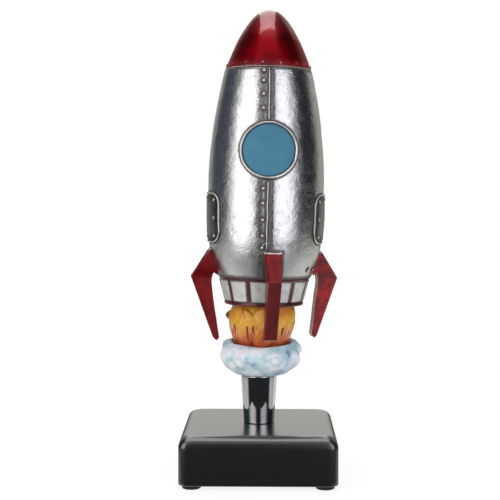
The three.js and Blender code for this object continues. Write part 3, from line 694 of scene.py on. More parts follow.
def cut_depth(cuts, radius, angle, z):
    """How deep the flame is cut at a place: widest near a cut's upper end, with a curved course."""
    depth = 0.0
    for cut_angle, high, low, lean in cuts:
        t = (high - z) / (high - low)
        if 0 < t < 1:
            course = cut_angle + 2.5 * lean * (t - 0.35) ** 2
            gap = abs(radians(turn_between(angle, course))) * radius
            depth = max(depth, 1 - gap / (0.6 * sin(pi * t**0.5) + 0.1))
    return depth


def flame_licks():
    """Leaf shapes in three rings: angle, lower end, upper end, half width and lean."""
    rng = random.Random(5)
    licks = []
    for ring, (low, high, count) in enumerate(FLAME_LICKS):
        pitch = 360 / count
        for i in range(count):
            angle = pitch * (i + 0.5 * ring + rng.uniform(-0.15, 0.15))
            licks.append((angle, low, high, pitch * rng.uniform(0.5, 0.62), rng.uniform(-9, 9)))
    return licks


def lick_relief(licks, angle, z):
    """How high the topmost lick stands at a place, and how near the place is to a crease."""
    height, crease = 0.0, 0.0
    for lick_angle, low, high, half, lean in licks:
        t = (z - low) / (high - low)
        if not 0 <= t <= 1:
            continue
        width = half * sin(pi * min(1, 0.12 + 0.88 * t)) ** 0.75 + 0.5
        offset = abs(turn_between(angle, lick_angle + lean * t))
        if offset < width:
            bulge = (1 - (offset / width) ** 2) ** 0.5 * (0.55 + 0.45 * t)
            if bulge > height:
                height = bulge
                crease = max(0, offset / width - 0.82) / 0.18
        elif offset < width + 4:
            crease = max(crease, 1 - (offset - width) / 4)
    return height, crease


def flame(material):
    """Licks that overlap upwards: long leaf-shaped swells with sharp creases between them."""
    outline = smooth_outline(FLAME_OUTLINE, 14)
    steps = 300
    cuts, licks = flame_cuts(), flame_licks()
    points, heats, creases, slits = [], [], [], []
    for radius, z in outline:
        # The relief dies out towards the flame's hidden ends.
        end = min(1, (z - 66) / 2.5, max(0, (FLAME["top"] - z) / 2))
        for angle in (360 * j / steps for j in range(steps)):
            height, crease = lick_relief(licks, angle, z)
            slit = cut_depth(cuts, radius, angle, z)
            stray = max(0.0, 1 - ((angle - STRAY_LICK["angle"]) / STRAY_LICK["half_angle"]) ** 2
                        - ((z - STRAY_LICK["z"]) / STRAY_LICK["half_height"]) ** 2)
            lift = 1.9 * height - 1.2 - 0.2 * crease - 0.7 * slit + 2.2 * stray
            lift += 0.4 * wobble(*around(radius, angle, z), 5)
            out = around(radius + lift * end, angle, z)
            points.append((out.x + cloud_shift(z), out.y, z))
            heats.append(height)
            creases.append(crease * end)
            slits.append(min(1.0, 1.3 * slit * end + 0.8 * stray))
    shape = Shape()
    faces = grid_faces(len(outline), steps, join_columns=True)
    shape.add(points, faces, lick=heats, crease=creases, slit=slits)
    shape.cap(0, steps, flip=True)
    shape.cap(len(points) - steps, steps)
    shape.piece("flame_licks", "flame", material, UPRIGHT)


def smoke_puffs():
    """The puffs that show in front, and more of the same kind all round the back."""
    rng = random.Random(21)
    puffs = list(SMOKE_PUFFS)
    hidden = 22
    for i in range(hidden):
        puffs.append((110 + 250 * i / hidden + rng.uniform(-6, 6), rng.uniform(57, 70), rng.uniform(3, 5.2),
                      rng.uniform(0.4, 0.9)))
    return puffs


def smoke(material):
    outline = smooth_outline(SMOKE_OUTLINE, 9)
    steps = 240
    knobs = smoke_puffs()
    points, puffs, nub_shade_lines = [], [], []
    for i, (radius, level) in enumerate(outline):
        outer = unit((radius - 13.6) / 4) * (1.0 if i < len(outline) * 0.8 else 0.25)
        for angle in (360 * j / steps for j in range(steps)):
            droop = SMOKE_DROOP * max(0.0, cos(radians(angle - 8))) ** 0.8
            z = level - droop * unit((level - 64) / 5)
            p = around(radius, angle, z)
            puff, nub, groove = 0.0, 0.0, 0.0
            for knob_angle, knob_z, size, strength in knobs:
                distance = apart(radius, angle - knob_angle, z - knob_z) / size
                if distance < 1:
                    puff = max(puff, strength * (1 - distance**2) ** 1.2)
            for nub_angle, nub_z, size in SMOKE_NUBS:
                distance = apart(radius, angle - nub_angle, z - nub_z) / size + 0.16 * wobble(*p, 2)
                nub = max(nub, 1 - distance**2)
                # A ring round each nub, for a painted shadow line.
                groove = max(groove, 1 - abs(distance - 1.15) / 0.35)
            fold = 0.55 * wobble(*p, 6.5) + 0.28 * wobble(*p, 3) + 0.1 * wobble(*p, 1.3)
            lift = outer * (1.5 * puff + 1.7 * fold - 0.8 + 1.2 * nub**0.7)
            out = around(radius + lift, angle, z + outer * 0.5 * wobble(p.y, p.x, z, 7))
            points.append((out.x + cloud_shift(z), out.y, out.z))
            nub_shade_lines.append(groove)
            puffs.append(unit(0.8 * puff + 0.5 * fold + 0.8 * nub**0.6))
    shape = Shape()
    shape.add(points, grid_faces(len(outline), steps, join_columns=True), puff=puffs, groove=nub_shade_lines)
    shape.cap(len(points) - steps, steps)
    shape.piece("smoke_puffs", "smoke_ring", material, UPRIGHT)


# ---------------------------------------- stand

def column(material):
    low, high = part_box("column")
    bottom, top = low.z / MM + FLOOR - 0.15, high.z / MM + FLOOR
    low_radius, high_radius, edge = COLUMN["bottom_radius"], COLUMN["top_radius"], COLUMN["edge"]
    outline = [(ROD_BORE, bottom), (low_radius - edge - 0.1, bottom)]
    outline += rounded_corner((low_radius - edge, bottom + edge), edge, -90, 0, 4)
    for t in np.linspace(0, 1, 12):
        outline.append((low_radius + (high_radius - low_radius) * t, bottom + 0.6 + (top - bottom - 1.2) * t))
    outline += rounded_corner((high_radius - edge, top - edge), edge, 0, 90, 4)
    outline += [(ROD_BORE, top), (ROD_BORE, bottom)]
    shape = Shape()
    shape.add(*turned(outline, 160))
    shape.piece("column_tube", "column", material, UPRIGHT, "stand")


def foot(name, material):
    low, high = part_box(name)
    middle = (low + high) / 2 / MM
    height = high.z / MM + 0.25
    radius, edge = FOOT["radius"], FOOT["edge"]
    outline = [(0.02, 0), *rounded_corner((radius - edge, edge), edge, -90, 0, 6), (radius, height - 0.3),
               (radius - 0.3, height), (0.02, height)]
    points, faces = turned(outline, 64)
    shape = Shape()
    shape.add([(p.x + middle.x, p.y + middle.y, p.z + FLOOR) for p in points], faces)
    shape.piece(f"{name}_bumper", name, material, UPRIGHT, "stand")


def base_block(material):
    """A square block with soft edges, and the nut pocket and rod hole under it."""
    low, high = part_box("base_block")
    half, bottom, top = high.x / MM, low.z / MM + FLOOR, high.z / MM + FLOOR
    top_round, bottom_round = BASE["top_round"], BASE["bottom_round"]
    pocket_radius, pocket_top = BASE["pocket_radius"], bottom + BASE["pocket_depth"]
    count = 160
    spokes = [atan2(y, x) for x, y in rounded_loop(half, half, BASE["corner"], count)]

    def square(inset, z):
        corner = BASE["corner"] + 0.12 * inset
        return [(x, y, z) for x, y in rounded_loop(half - inset, half - inset, corner, count)]

    def circle(radius, z):
        return [(radius * cos(turn), radius * sin(turn), z) for turn in spokes]

    loops = [circle(ROD_BORE, top), circle(10, top)]
    loops += [square(inset, top) for inset in (24, 16, 10, 7.2)]
    for turn in np.radians(np.linspace(90, 0, 12)):
        loops.append(square(top_round * (1 - cos(turn)), top - top_round * (1 - sin(turn))))
    loops += [square(0, z) for z in np.linspace(top - top_round - 2, bottom + bottom_round + 2, 6)]
    for turn in np.radians(np.linspace(0, -90, 6)):
        inset = bottom_round * (1 - cos(turn))
        loops.append(square(inset, bottom + bottom_round * (1 + sin(turn))))
    loops += [square(inset, bottom) for inset in (4, 12, 22)]
    loops += [circle(pocket_radius + 0.3, bottom), circle(pocket_radius, bottom + 0.3),
              circle(pocket_radius, pocket_top), circle(ROD_BORE, pocket_top), circle(ROD_BORE, top)]
    shape = Shape()
    points = [p for loop in loops for p in loop]
    shape.add(points, grid_faces(len(loops), len(loops[0]), join_columns=True))
    shape.piece("square_block", "base_block", material, UPRIGHT, "stand")


# ---------------------------------------- shader building

def put(tree, socket, value):
    """Sets a socket to a number or a colour, or links it to another socket."""
    if isinstance(value, (int, float)):
        socket.default_value = value
    elif isinstance(value, tuple):
        socket.default_value = (*value, 1) if socket.type == "RGBA" else value
    elif value is not None:
        tree.links.new(value, socket)


def add_node(tree, kind, **settings):
    made = tree.nodes.new(kind)
    for key, value in settings.items():
        setattr(made, key, value)
    return made


class Paint:
    """A small builder for one procedural material; sizes are in millimetres."""

    def __init__(self, name, color, roughness, metallic=0.0, **sockets):
        self.material = bpy.data.materials.new(name)
        self.material.use_nodes = True
        self.tree = self.material.node_tree
        self.inputs = self.tree.nodes["Principled BSDF"].inputs
        self.inputs["Base Color"].default_value = (*color, 1)
        self.inputs["Roughness"].default_value = roughness
        self.inputs["Metallic"].default_value = metallic
        for key, value in sockets.items():
            self.inputs[key.replace("_", " ")].default_value = value
        self.place = add_node(self.tree, "ShaderNodeTexCoord").outputs["Object"]

    def noise(self, size, detail, roughness, stretch=None, distortion=0.0):
        """Noise with features of about a size in millimetres, stretched along an axis if asked."""
        made = add_node(self.tree, "ShaderNodeTexNoise")
        made.inputs["Scale"].default_value = 1.0 / (size * MM)
        made.inputs["Detail"].default_value = detail
        made.inputs["Roughness"].default_value = roughness
        made.inputs["Distortion"].default_value = distortion
        source = self.place
        if stretch:
            mapping = add_node(self.tree, "ShaderNodeMapping")
            put(self.tree, mapping.inputs["Scale"], stretch)
            put(self.tree, mapping.inputs["Vector"], source)
            source = mapping.outputs["Vector"]
        put(self.tree, made.inputs["Vector"], source)
        return made.outputs["Fac"]

    def height(self):
        """The height above the floor, in metres."""
        split = add_node(self.tree, "ShaderNodeSeparateXYZ")
        put(self.tree, split.inputs[0], self.place)
        return split.outputs["Z"]

    def mask(self, name):
        return add_node(self.tree, "ShaderNodeAttribute", attribute_name=name).outputs["Fac"]

    def ramp(self, source, *stops):
        """Maps a value through (position, grey or colour) stops."""
        made = add_node(self.tree, "ShaderNodeValToRGB")
        elements = made.color_ramp.elements
        while len(elements) > 1:
            elements.remove(elements[-1])
        for i, (position, value) in enumerate(stops):
            element = elements[0] if i == 0 else elements.new(position)
            element.position = position
            element.color = (*(value if isinstance(value, tuple) else (value,) * 3), 1)
        put(self.tree, made.inputs["Fac"], source)
        return made.outputs["Color"]

    def math(self, operation, *values):
        made = add_node(self.tree, "ShaderNodeMath", operation=operation)
        for socket, value in zip(made.inputs, values):
            put(self.tree, socket, value)
        return made.outputs["Value"]

    def ragged(self, source, noise_source, amount, shift=0.0):
        """A mask made uneven by noise, which adds or takes away up to half of an amount."""
        return self.math("ADD", source, self.math("MULTIPLY_ADD", noise_source, amount, shift - amount / 2))

    def mix(self, factor, first, second):
        """Mixes two colours; each is a socket or a colour."""
        made = add_node(self.tree, "ShaderNodeMix", data_type="RGBA")
        for socket, value in zip((made.inputs[0], made.inputs[6], made.inputs[7]), (factor, first, second)):
            put(self.tree, socket, value)
        return made.outputs[2]

    def color(self, source):
        put(self.tree, self.inputs["Base Color"], source)

    def roughness(self, source, dull, smooth):
        """Roughness that follows noise, from its low places to its high ones."""
        put(self.tree, self.inputs["Roughness"], self.ramp(source, (0.3, dull), (0.7, smooth)))

    def finish(self, *layers):
        """Stacks bump layers of (height source, depth in millimetres) and gives the material."""
        normal = None
        for source, depth in layers:
            made = add_node(self.tree, "ShaderNodeBump")
            made.inputs["Strength"].default_value = 1.0
            made.inputs["Distance"].default_value = depth * MM
            put(self.tree, made.inputs["Height"], source)
            put(self.tree, made.inputs["Normal"], normal)
            normal = made.outputs["Normal"]
        put(self.tree, self.inputs["Normal"], normal)
        return self.material


# ---------------------------------------- materials

def silver_hull():
    paint = Paint("silver_leaf_hull", (0.75, 0.75, 0.75), 0.25, 1.0)
    blotch = paint.noise(5, 6, 0.65)
    specks = paint.noise(0.9, 5, 0.7)
    streaks = paint.noise(2.2, 6, 0.7, stretch=(1, 1, 0.55))
    tone = paint.ramp(blotch, (0.3, (0.60, 0.60, 0.61)), (0.5, 0.76), (0.75, (0.84, 0.84, 0.83)))
    # Dark where the grime mask is high: patina round the rivets and seams, and painted shade round the
    # hatches, the porthole, the fin roots, the seam ridges and the hull's ends.
    dirt_and_shade = paint.ramp(paint.ragged(paint.mask("grime"), specks, 1.3), (0.25, 0.0), (0.6, 0.8), (0.95, 1.0))
    dark = paint.mix(paint.noise(1.8, 5, 0.7), (0.06, 0.048, 0.046), (0.34, 0.29, 0.28))
    base = paint.mix(paint.ramp(streaks, (0.30, 0.30), (0.40, 0.0)), tone, (0.42, 0.42, 0.43))
    # Greyer towards the bottom of the hull.
    greyer_low = paint.mix(paint.math("MULTIPLY", paint.mask("age"), 0.55), base, (0.46, 0.46, 0.45))
    paint.color(paint.mix(dirt_and_shade, greyer_low, dark))
    rough = paint.ramp(streaks, (0.3, 0.30), (0.55, 0.20), (0.8, 0.16))
    rough = paint.math("MULTIPLY_ADD", dirt_and_shade, 0.25, rough)
    put(paint.tree, paint.inputs["Roughness"], paint.math("MULTIPLY_ADD", paint.mask("age"), 0.12, rough))
    hammered = paint.noise(3.2, 3, 0.5, distortion=0.6)
    return paint.finish((blotch, 0.14), (hammered, 0.13), (specks, 0.08), (streaks, 0.04))


def bright_trim():
    paint = Paint("rubbed_and_highlit_trim", (0.8, 0.8, 0.8), 0.25, 1.0)
    specks = paint.noise(0.8, 5, 0.7)
    # Dark metal, pale where the edge mask is high: rubbed metal, and on seam ridges and the porthole rim also
    # a painted highlight; the dark beside a seam's ridge is a painted shadow line.
    worn = paint.ramp(paint.ragged(paint.mask("edge"), specks, 0.9), (0.25, 0.0), (0.85, 1.0))
    paint.color(paint.mix(worn, (0.06, 0.052, 0.046), (0.84, 0.83, 0.80)))
    paint.roughness(specks, 0.42, 0.24)
    return paint.finish((specks, 0.05))


def hatch_metal():
    paint = Paint("antiqued_hatch_metal", (0.5, 0.5, 0.5), 0.35, 1.0)
    specks = paint.noise(0.9, 5, 0.7)
    blotch = paint.noise(4, 5, 0.65)
    dirt_and_shade = paint.ramp(paint.ragged(paint.mask("grime"), specks, 0.8), (0.2, 0.0), (0.8, 1.0))
    face = paint.mix(dirt_and_shade, paint.mix(blotch, (0.42, 0.42, 0.41), (0.60, 0.60, 0.58)), (0.13, 0.12, 0.105))
    edge = paint.ramp(paint.ragged(paint.mask("edge"), specks, 0.6), (0.35, 0.0), (0.7, 1.0))
    paint.color(paint.mix(edge, face, (0.86, 0.85, 0.82)))
    paint.roughness(specks, 0.48, 0.3)
    return paint.finish((blotch, 0.12), (specks, 0.05))


def candy_red(name, bright, deep, wear, coat, metal):
    """Clear red lacquer over metal: deep in places, with a gloss coat and chipped pale edges."""
    paint = Paint(name, bright, 0.3, metal, Coat_Roughness=0.05, Coat_IOR=coat)
    put(paint.tree, paint.inputs["Coat Weight"], paint.mask("gloss"))
    clouds = paint.noise(9, 4, 0.6)
    blotch = paint.noise(2.5, 5, 0.65)
    chips = paint.noise(0.8, 5, 0.75)
    mixed = paint.math("MULTIPLY_ADD", blotch, 0.45, paint.math("MULTIPLY", clouds, 0.6))
    tone = paint.ramp(mixed, (0.40, deep), (0.58, bright))
    chipped = paint.ramp(paint.ragged(paint.mask("edge"), chips, 1.2), (wear, 0.0), (wear + 0.15, 1.0))
    # Pale metal where the bare mask is high: worn bare metal, and a painted highlight on the nose rivets'
    # tops.
    bare = paint.ramp(paint.ragged(paint.mask("bare"), chips, 1.2), (0.45, 0.0), (0.65, 1.0))
    # Dark and less metallic where the patina mask is high: painted shade on the nose tip, round the nose
    # rivets and on the fins' edges and legs, and dark patina at the nose's lower edge.
    patina = paint.mask("patina")
    dull = paint.mix(patina, paint.mix(chipped, tone, (0.55, 0.20, 0.16)), (0.075, 0.016, 0.018))
    put(paint.tree, paint.inputs["Metallic"], paint.math("MULTIPLY_ADD", patina, -metal, metal))
    paint.color(paint.mix(bare, dull, (0.75, 0.74, 0.71)))
    paint.roughness(blotch, 0.42, 0.28)
    return paint.finish((clouds, 0.12), (blotch, 0.035))


def dark_red():
    paint = Paint("worn_dark_red", (0.16, 0.015, 0.018), 0.4, 0.4, Coat_Weight=0.6, Coat_Roughness=0.15)
    blotch = paint.noise(1.6, 5, 0.7)
    paint.color(paint.ramp(blotch, (0.35, (0.03, 0.012, 0.010)), (0.55, (0.10, 0.008, 0.010)),
                           (0.75, (0.22, 0.014, 0.016))))
    paint.roughness(blotch, 0.55, 0.3)
    return paint.finish((blotch, 0.08))


def pale_panel():
    paint = Paint("pale_silver_panel", (0.6, 0.6, 0.58), 0.42, 0.55)
    specks = paint.noise(0.8, 5, 0.7)
    blotch = paint.noise(3.5, 5, 0.7)
    # Dark near the panel edges: painted shade.
    dirt_and_shade = paint.ramp(paint.ragged(paint.mask("grime"), specks, 0.9), (0.3, 0.0), (0.85, 1.0))
    tone = paint.ramp(blotch, (0.3, (0.50, 0.50, 0.49)), (0.55, (0.70, 0.70, 0.68)), (0.8, (0.8, 0.8, 0.78)))
    paint.color(paint.mix(dirt_and_shade, tone, (0.13, 0.12, 0.10)))
    paint.roughness(specks, 0.55, 0.36)
    return paint.finish((blotch, 0.15), (specks, 0.06))


def blue_pane():
    paint = Paint("flat_blue_pane", (0.065, 0.225, 0.375), 0.5, Specular_IOR_Level=0.3)
    soft = paint.noise(6, 4, 0.6)
    fine = paint.noise(0.5, 4, 0.7)
    tone = paint.ramp(soft, (0.3, (0.047, 0.178, 0.28)), (0.7, (0.060, 0.205, 0.31)))
    # Near-black at the rim: a painted shadow of the bezel's inner wall.
    rim = paint.ramp(paint.ragged(paint.mask("grime"), fine, 0.5), (0.45, 0.0), (0.8, 1.0))
    paint.color(paint.mix(rim, tone, (0.03, 0.05, 0.06)))
    paint.roughness(fine, 0.6, 0.45)
    return paint.finish((soft, 0.08), (fine, 0.02))


def flame_paint():
    """Orange that turns redder downwards, with dark red lines in the creases and cuts."""
    paint = Paint("flame_paint", (0.85, 0.45, 0.06), 0.38, Coat_Weight=0.5, Coat_Roughness=0.2)
    above = paint.math("SUBTRACT", paint.height(), (FLAME["bottom"] - FLOOR) * MM)
    level = paint.math("DIVIDE", above, (FLAME["top"] - FLAME["bottom"]) * MM)
    brush = paint.noise(4, 5, 0.65, stretch=(1, 1, 0.5))
    warm = paint.ragged(paint.math("MULTIPLY_ADD", paint.mask("lick"), 0.12, level), brush, 0.7)
    tone = paint.ramp(warm, (0.0, (0.80, 0.24, 0.02)), (0.10, (0.72, 0.20, 0.02)),
                      (0.17, (0.36, 0.05, 0.015)), (0.36, (0.52, 0.10, 0.015)), (0.50, (0.66, 0.23, 0.022)),
                      (0.72, (0.72, 0.38, 0.022)), (0.95, (0.62, 0.22, 0.02)))
    crease = paint.ramp(paint.ragged(paint.mask("crease"), brush, 0.9, -0.05), (0.28, 0.0), (0.5, 0.95))
    lower = paint.ramp(level, (0.4, 0.4), (0.62, 0.08))
    lined = paint.mix(paint.math("MULTIPLY", crease, lower), tone, (0.20, 0.04, 0.012))
    slit = paint.ramp(paint.ragged(paint.mask("slit"), brush, 0.5), (0.15, 0.0), (0.5, 0.95))
    paint.color(paint.mix(slit, lined, (0.13, 0.022, 0.009)))
    paint.roughness(brush, 0.5, 0.32)
    return paint.finish((brush, 0.12), (paint.noise(0.7, 4, 0.7), 0.03))


def smoke_paint():
    """White puffs with a blue wash in places, darker blue in the hollows as painted shade, lilac in places,
    and a painted shadow line round each nub.
    """
    paint = Paint("smoke_paint", (0.74, 0.80, 0.85), 0.55)
    wash = paint.noise(9, 4, 0.55)
    fine = paint.noise(1.4, 5, 0.7)
    mixed = paint.ragged(wash, fine, 0.22)
    # Lighter on the puffs and darker blue between them: painted shade from the puff mask.
    mixed = paint.math("ADD", mixed, paint.math("MULTIPLY_ADD", paint.mask("puff"), 0.40, -0.08))
    tone = paint.ramp(mixed, (0.24, (0.14, 0.24, 0.28)), (0.34, (0.33, 0.54, 0.62)),
                      (0.45, (0.48, 0.67, 0.73)), (0.57, (0.76, 0.79, 0.83)))
    lilac = paint.ramp(paint.noise(8, 3, 0.5, stretch=(1, 1, 1.6)), (0.50, 0.0), (0.70, 0.7))
    # A dark line round each nub: a painted shadow.
    line = paint.math("MULTIPLY", paint.mask("groove"), paint.math("MULTIPLY_ADD", fine, 1.6, -0.45))
    paint.color(paint.mix(line, paint.mix(lilac, tone, (0.70, 0.66, 0.72)), (0.26, 0.36, 0.42)))
    paint.roughness(fine, 0.68, 0.48)
    return paint.finish((wash, 0.25), (fine, 0.12))


def chrome():
    paint = Paint("polished_column", (0.8, 0.8, 0.81), 0.06, 1.0)
    smear = paint.noise(3, 5, 0.7, stretch=(1, 1, 0.3))
    paint.color(paint.ramp(smear, (0.3, (0.70, 0.70, 0.71)), (0.7, (0.84, 0.84, 0.85))))
    paint.roughness(smear, 0.1, 0.04)
    return paint.finish((paint.noise(0.4, 3, 0.6, stretch=(1, 1, 0.08)), 0.0015))


def black_paint():
    paint = Paint("satin_black_block", (0.006, 0.006, 0.0065), 0.2, IOR=2.2)
    grain = paint.noise(0.7, 6, 0.7, stretch=(0.35, 1, 1))
    dust = paint.noise(0.5, 6, 0.8)
    paint.color(paint.ramp(dust, (0.58, (0.008, 0.008, 0.0085)), (0.70, 0.03), (0.78, 0.10)))
    paint.roughness(grain, 0.27, 0.21)
    return paint.finish((grain, 0.003), (dust, 0.002), (paint.noise(2.5, 4, 0.6), 0.012))


def rubber():
    paint = Paint("black_rubber", (0.015, 0.015, 0.015), 0.8)
    fine = paint.noise(0.3, 5, 0.7)
    paint.color(paint.ramp(fine, (0.3, 0.010), (0.7, 0.024)))
    paint.roughness(fine, 0.9, 0.7)
    return paint.finish((fine, 0.04))


def steel():
    paint = Paint("turned_steel", (0.5, 0.5, 0.5), 0.35, 1.0)
    lines = paint.noise(0.6, 4, 0.6, stretch=(1, 1, 0.1))
    paint.color(paint.ramp(lines, (0.3, (0.38, 0.38, 0.39)), (0.7, 0.60)))
    paint.roughness(lines, 0.45, 0.28)
    return paint.finish((lines, 0.02))


# ---------------------------------------- studio and camera

def plane(name, corners_m, material):
    """A flat screen with a map that runs from 0 to 1 across it and up it."""
    mesh = bpy.data.meshes.new(name)
    mesh.from_pydata(corners_m, [], [(0, 1, 2, 3)])
    mesh.uv_layers.new(name="across")
    for loop, uv in zip(mesh.uv_layers["across"].data, ((0, 0), (1, 0), (1, 1), (0, 1))):
        loop.uv = uv
    made = bpy.data.objects.new(name, mesh)
    bpy.context.scene.collection.objects.link(made)
    mesh.materials.append(material)
    return made


def floor():
    size = 3.0
    material = bpy.data.materials.new("pale_floor")
    material.use_nodes = True
    shader = material.node_tree.nodes["Principled BSDF"]
    shader.inputs["Base Color"].default_value = (0.22, 0.22, 0.22, 1)
    shader.inputs["Roughness"].default_value = 0.9
    shader.inputs["Emission Color"].default_value = (1, 1, 1, 1)
    shader.inputs["Emission Strength"].default_value = 0.84
    made = plane("floor", [(-size, -size, 0), (size, -size, 0), (size, size, 0), (-size, size, 0)], material)
    made.visible_glossy = False


def softbox(name, first, last, color, profile):
    """A lit screen that stands on the table, between two angles from the front.

    Its profile gives stops of (part of the way from its first side, strength).
    """
    distance, top = 0.40, 0.50
    middle = radians((first + last) / 2)
    half = distance * math.tan(radians(abs(last - first) / 2))
    centre = Vector((sin(middle), -cos(middle), 0)) * distance
    across = Vector((cos(middle), sin(middle), 0)) * half
    low, high = Vector((0, 0, 0.002)), Vector((0, 0, top))
    outer, inner = (centre - across, centre + across) if middle < 0 else (centre + across, centre - across)
    material = bpy.data.materials.new(name)
    material.use_nodes = True
    tree = material.node_tree
    tree.nodes.clear()
    split = add_node(tree, "ShaderNodeSeparateXYZ")
    put(tree, split.inputs[0], add_node(tree, "ShaderNodeUVMap", uv_map="across").outputs[0])
    ramp = add_node(tree, "ShaderNodeFloatCurve")
    curve = ramp.mapping.curves[0]
    peak = max(strength for _, strength in profile)
    while len(curve.points) < len(profile):
        curve.points.new(0.5, 0.5)
    for point, (part, strength) in zip(curve.points, profile):
        point.location = (part, strength / peak)
    ramp.mapping.update()
    put(tree, ramp.inputs["Value"], split.outputs["X"])
    scale = add_node(tree, "ShaderNodeMath", operation="MULTIPLY")
    put(tree, scale.inputs[0], ramp.outputs["Value"])
    put(tree, scale.inputs[1], peak)
    light = add_node(tree, "ShaderNodeEmission")
    put(tree, light.inputs["Color"], color)
    put(tree, light.inputs["Strength"], scale.outputs[0])
    put(tree, add_node(tree, "ShaderNodeOutputMaterial").inputs["Surface"], light.outputs[0])
    made = plane(name, [outer + low, inner + low, inner + high, outer + high], material)
    made.visible_camera = False
    made.visible_shadow = False


def room():
    """A dark room: a pale wall behind, a pale table, a screen overhead, and even light for matt surfaces."""
    world = bpy.data.worlds.new("studio")
    bpy.context.scene.world = world
    world.use_nodes = True
    tree = world.node_tree
    tree.nodes.clear()

    def value(operation, first, second=0.0, clamp=False):
        made = add_node(tree, "ShaderNodeMath", operation=operation, use_clamp=clamp)
        put(tree, made.inputs[0], first)
        put(tree, made.inputs[1], second)
        return made.outputs[0]

    def window(source, low, high, soft):
        """1 between two values of a source and 0 outside, with soft ends."""
        rise = value("DIVIDE", value("SUBTRACT", source, low), soft, clamp=True)
        fall = value("DIVIDE", value("SUBTRACT", high, source), soft, clamp=True)
        return value("MULTIPLY", rise, fall)

    def vector(operation, first, second=None, scale=None):
        made = add_node(tree, "ShaderNodeVectorMath", operation=operation)
        put(tree, made.inputs[0], first)
        put(tree, made.inputs[1], second)
        if scale is not None:
            put(tree, made.inputs["Scale"], scale)
        return made.outputs[0]

    def choose(factor, otherwise, color):
        made = add_node(tree, "ShaderNodeMix", data_type="RGBA")
        put(tree, made.inputs[0], factor)
        put(tree, made.inputs[6], otherwise)
        put(tree, made.inputs[7], color)
        return made.outputs[2]

    direction = add_node(tree, "ShaderNodeSeparateXYZ")
    put(tree, direction.inputs[0], add_node(tree, "ShaderNodeTexCoord").outputs["Generated"])
    x, y, z = direction.outputs
    in_degrees = 180 / pi
    azimuth = value("MULTIPLY", value("ARCTAN2", x, value("MULTIPLY", y, -1)), in_degrees)
    sideways = value("ABSOLUTE", azimuth)
    elevation = value("MULTIPLY", value("ARCSINE", z), in_degrees)
    above = value("MAXIMUM", z, 0.001)
    # Each glow: across, up, and its colour. Angles are in degrees from the front and from the level.
    glows = [
        (window(sideways, 160, 190, 6), window(elevation, -4, 30, 6), (0.95, 0.92, 0.86)),
        (window(azimuth, 116, 164, 8), window(elevation, -30, 50, 6), (0.34, 0.36, 0.31)),
        (window(azimuth, -164, -134, 8), window(elevation, -30, 50, 6), (0.34, 0.36, 0.31)),
        (window(azimuth, -140, -72, 10), window(elevation, -30, 40, 6), (0.038, 0.047, 0.062)),
        (window(azimuth, -62, 62, 30), window(elevation, 36, 120, 14), (0.42, 0.42, 0.42)),
        (window(sideways, 24, 200, 16), window(elevation, -95, -20, 8), (0.50, 0.50, 0.50)),
        (window(sideways, 70, 200, 14), window(elevation, -95, -6, 8), (0.45, 0.46, 0.43)),
    ]
    # The screen overhead is a rectangle on a level ceiling.
    overhead = value("MULTIPLY", window(value("DIVIDE", x, above), -0.52, 0.36, 0.05),
                     window(value("DIVIDE", y, above), -0.40, 2.2, 0.05))
    glows.append((overhead, window(z, 0.0, 2.0, 0.02), (1.75, 1.75, 1.75)))
    total = (0.018, 0.019, 0.023)
    for first, second, color in glows:
        total = vector("ADD", vector("SCALE", color, scale=value("MULTIPLY", first, second)), total)

    path = add_node(tree, "ShaderNodeLightPath")
    lit = choose(path.outputs["Is Diffuse Ray"], total, (0.62, 0.62, 0.64))
    seen = choose(path.outputs["Is Camera Ray"], lit, (1, 1, 1))
    background = add_node(tree, "ShaderNodeBackground")
    put(tree, background.inputs["Color"], seen)
    put(tree, add_node(tree, "ShaderNodeOutputWorld").inputs[0], background.outputs[0])


def studio():
    floor()
    softbox("left_softbox", -84, -19, (1.0, 1.0, 0.98),
            [(0, 0), (0.24, 0.6), (0.40, 1.65), (0.80, 1.75), (0.90, 1.1), (1, 0.8)])
    softbox("right_softbox", 70, 11, (0.93, 0.93, 1.0),
            [(0, 0), (0.22, 0.4), (0.38, 1.4), (0.75, 1.6), (0.87, 1.0), (1, 0.6)])
    room()


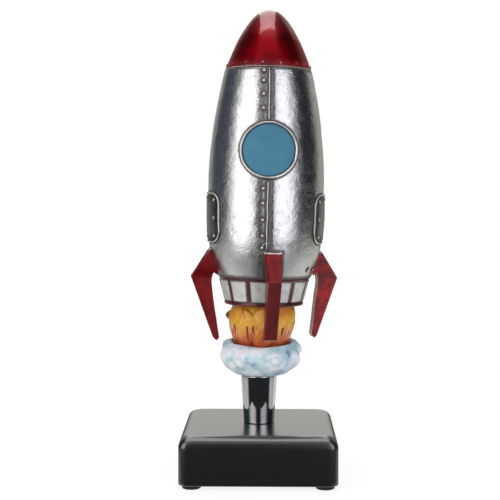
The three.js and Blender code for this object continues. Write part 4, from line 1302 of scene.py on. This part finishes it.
def camera():
    """Stands in front of the block, a little above the middle of the rocket, and looks slightly down."""
    data = bpy.data.cameras.new("camera")
    data.sensor_width = 36
    data.lens = CAMERA["lens"]
    data.shift_y = CAMERA["shift"]
    data.clip_start, data.clip_end = 0.01, 20
    made = bpy.data.objects.new("camera", data)
    bpy.context.scene.collection.objects.link(made)
    low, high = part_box("base_block")
    middle = (low + high) / 2
    place = (middle.x / MM + CAMERA["side"], middle.y / MM - CAMERA["distance"], CAMERA["height"])
    made.location = Vector(place) * MM
    made.rotation_euler = (radians(90 - CAMERA["pitch"]), 0, radians(CAMERA["yaw"]))
    bpy.context.scene.camera = made


# ---------------------------------------- build everything

def build_rocket():
    hull_look, trim, plate_look = silver_hull(), bright_trim(), hatch_metal()
    nose_red = candy_red("candy_red_nose", (0.52, 0.002, 0.012), (0.20, 0.001, 0.005), 0.92, 1.9, 1.0)
    fin_red = candy_red("candy_red_fins", (0.31, 0.004, 0.006), (0.09, 0.002, 0.003), 1.0, 1.7, 0.8)
    core_red, panel_look = dark_red(), pale_panel()

    hull_half("hull_right_skin", "hull_right_shell", 0, hull_look)
    hull_half("hull_left_skin", "hull_left_shell", 180, hull_look)
    for name, seam in SEAMS.items():
        seam_piece(name, seam, trim)
    for name, angle in TAIL_BOLTS.items():
        tail_bolt(name, angle, trim)
    porthole_bezel(trim)
    porthole_pane(blue_pane())
    hatch("hatch_left_plate", "hatch_left", -90, plate_look)
    hatch("hatch_right_plate", "hatch_right", 90, plate_look)
    nose(nose_red)
    nose_rivets(nose_red)
    skirt_core(core_red)
    for number in range(SKIRT["panels"]):
        skirt_panel(number, panel_look)
    for side, (angle, shorter, foot_out) in FINS.items():
        fin(side, angle, shorter, foot_out, fin_red)
    flame(flame_paint())
    smoke(smoke_paint())


def build_stand():
    column(chrome())
    base_block(black_paint())
    rubber_look = rubber()
    for name in ("foot_front_left", "foot_front_right", "foot_rear_left", "foot_rear_right"):
        foot(name, rubber_look)
    steel_look = steel()
    for name in ("tie_rod", "base_washer", "base_nut", "top_washer", "top_nut"):
        NODES[name].data.materials.clear()
        NODES[name].data.materials.append(steel_look)


build_rocket()
build_stand()
studio()
camera()
bpy.context.scene.view_settings.view_transform = "Standard"
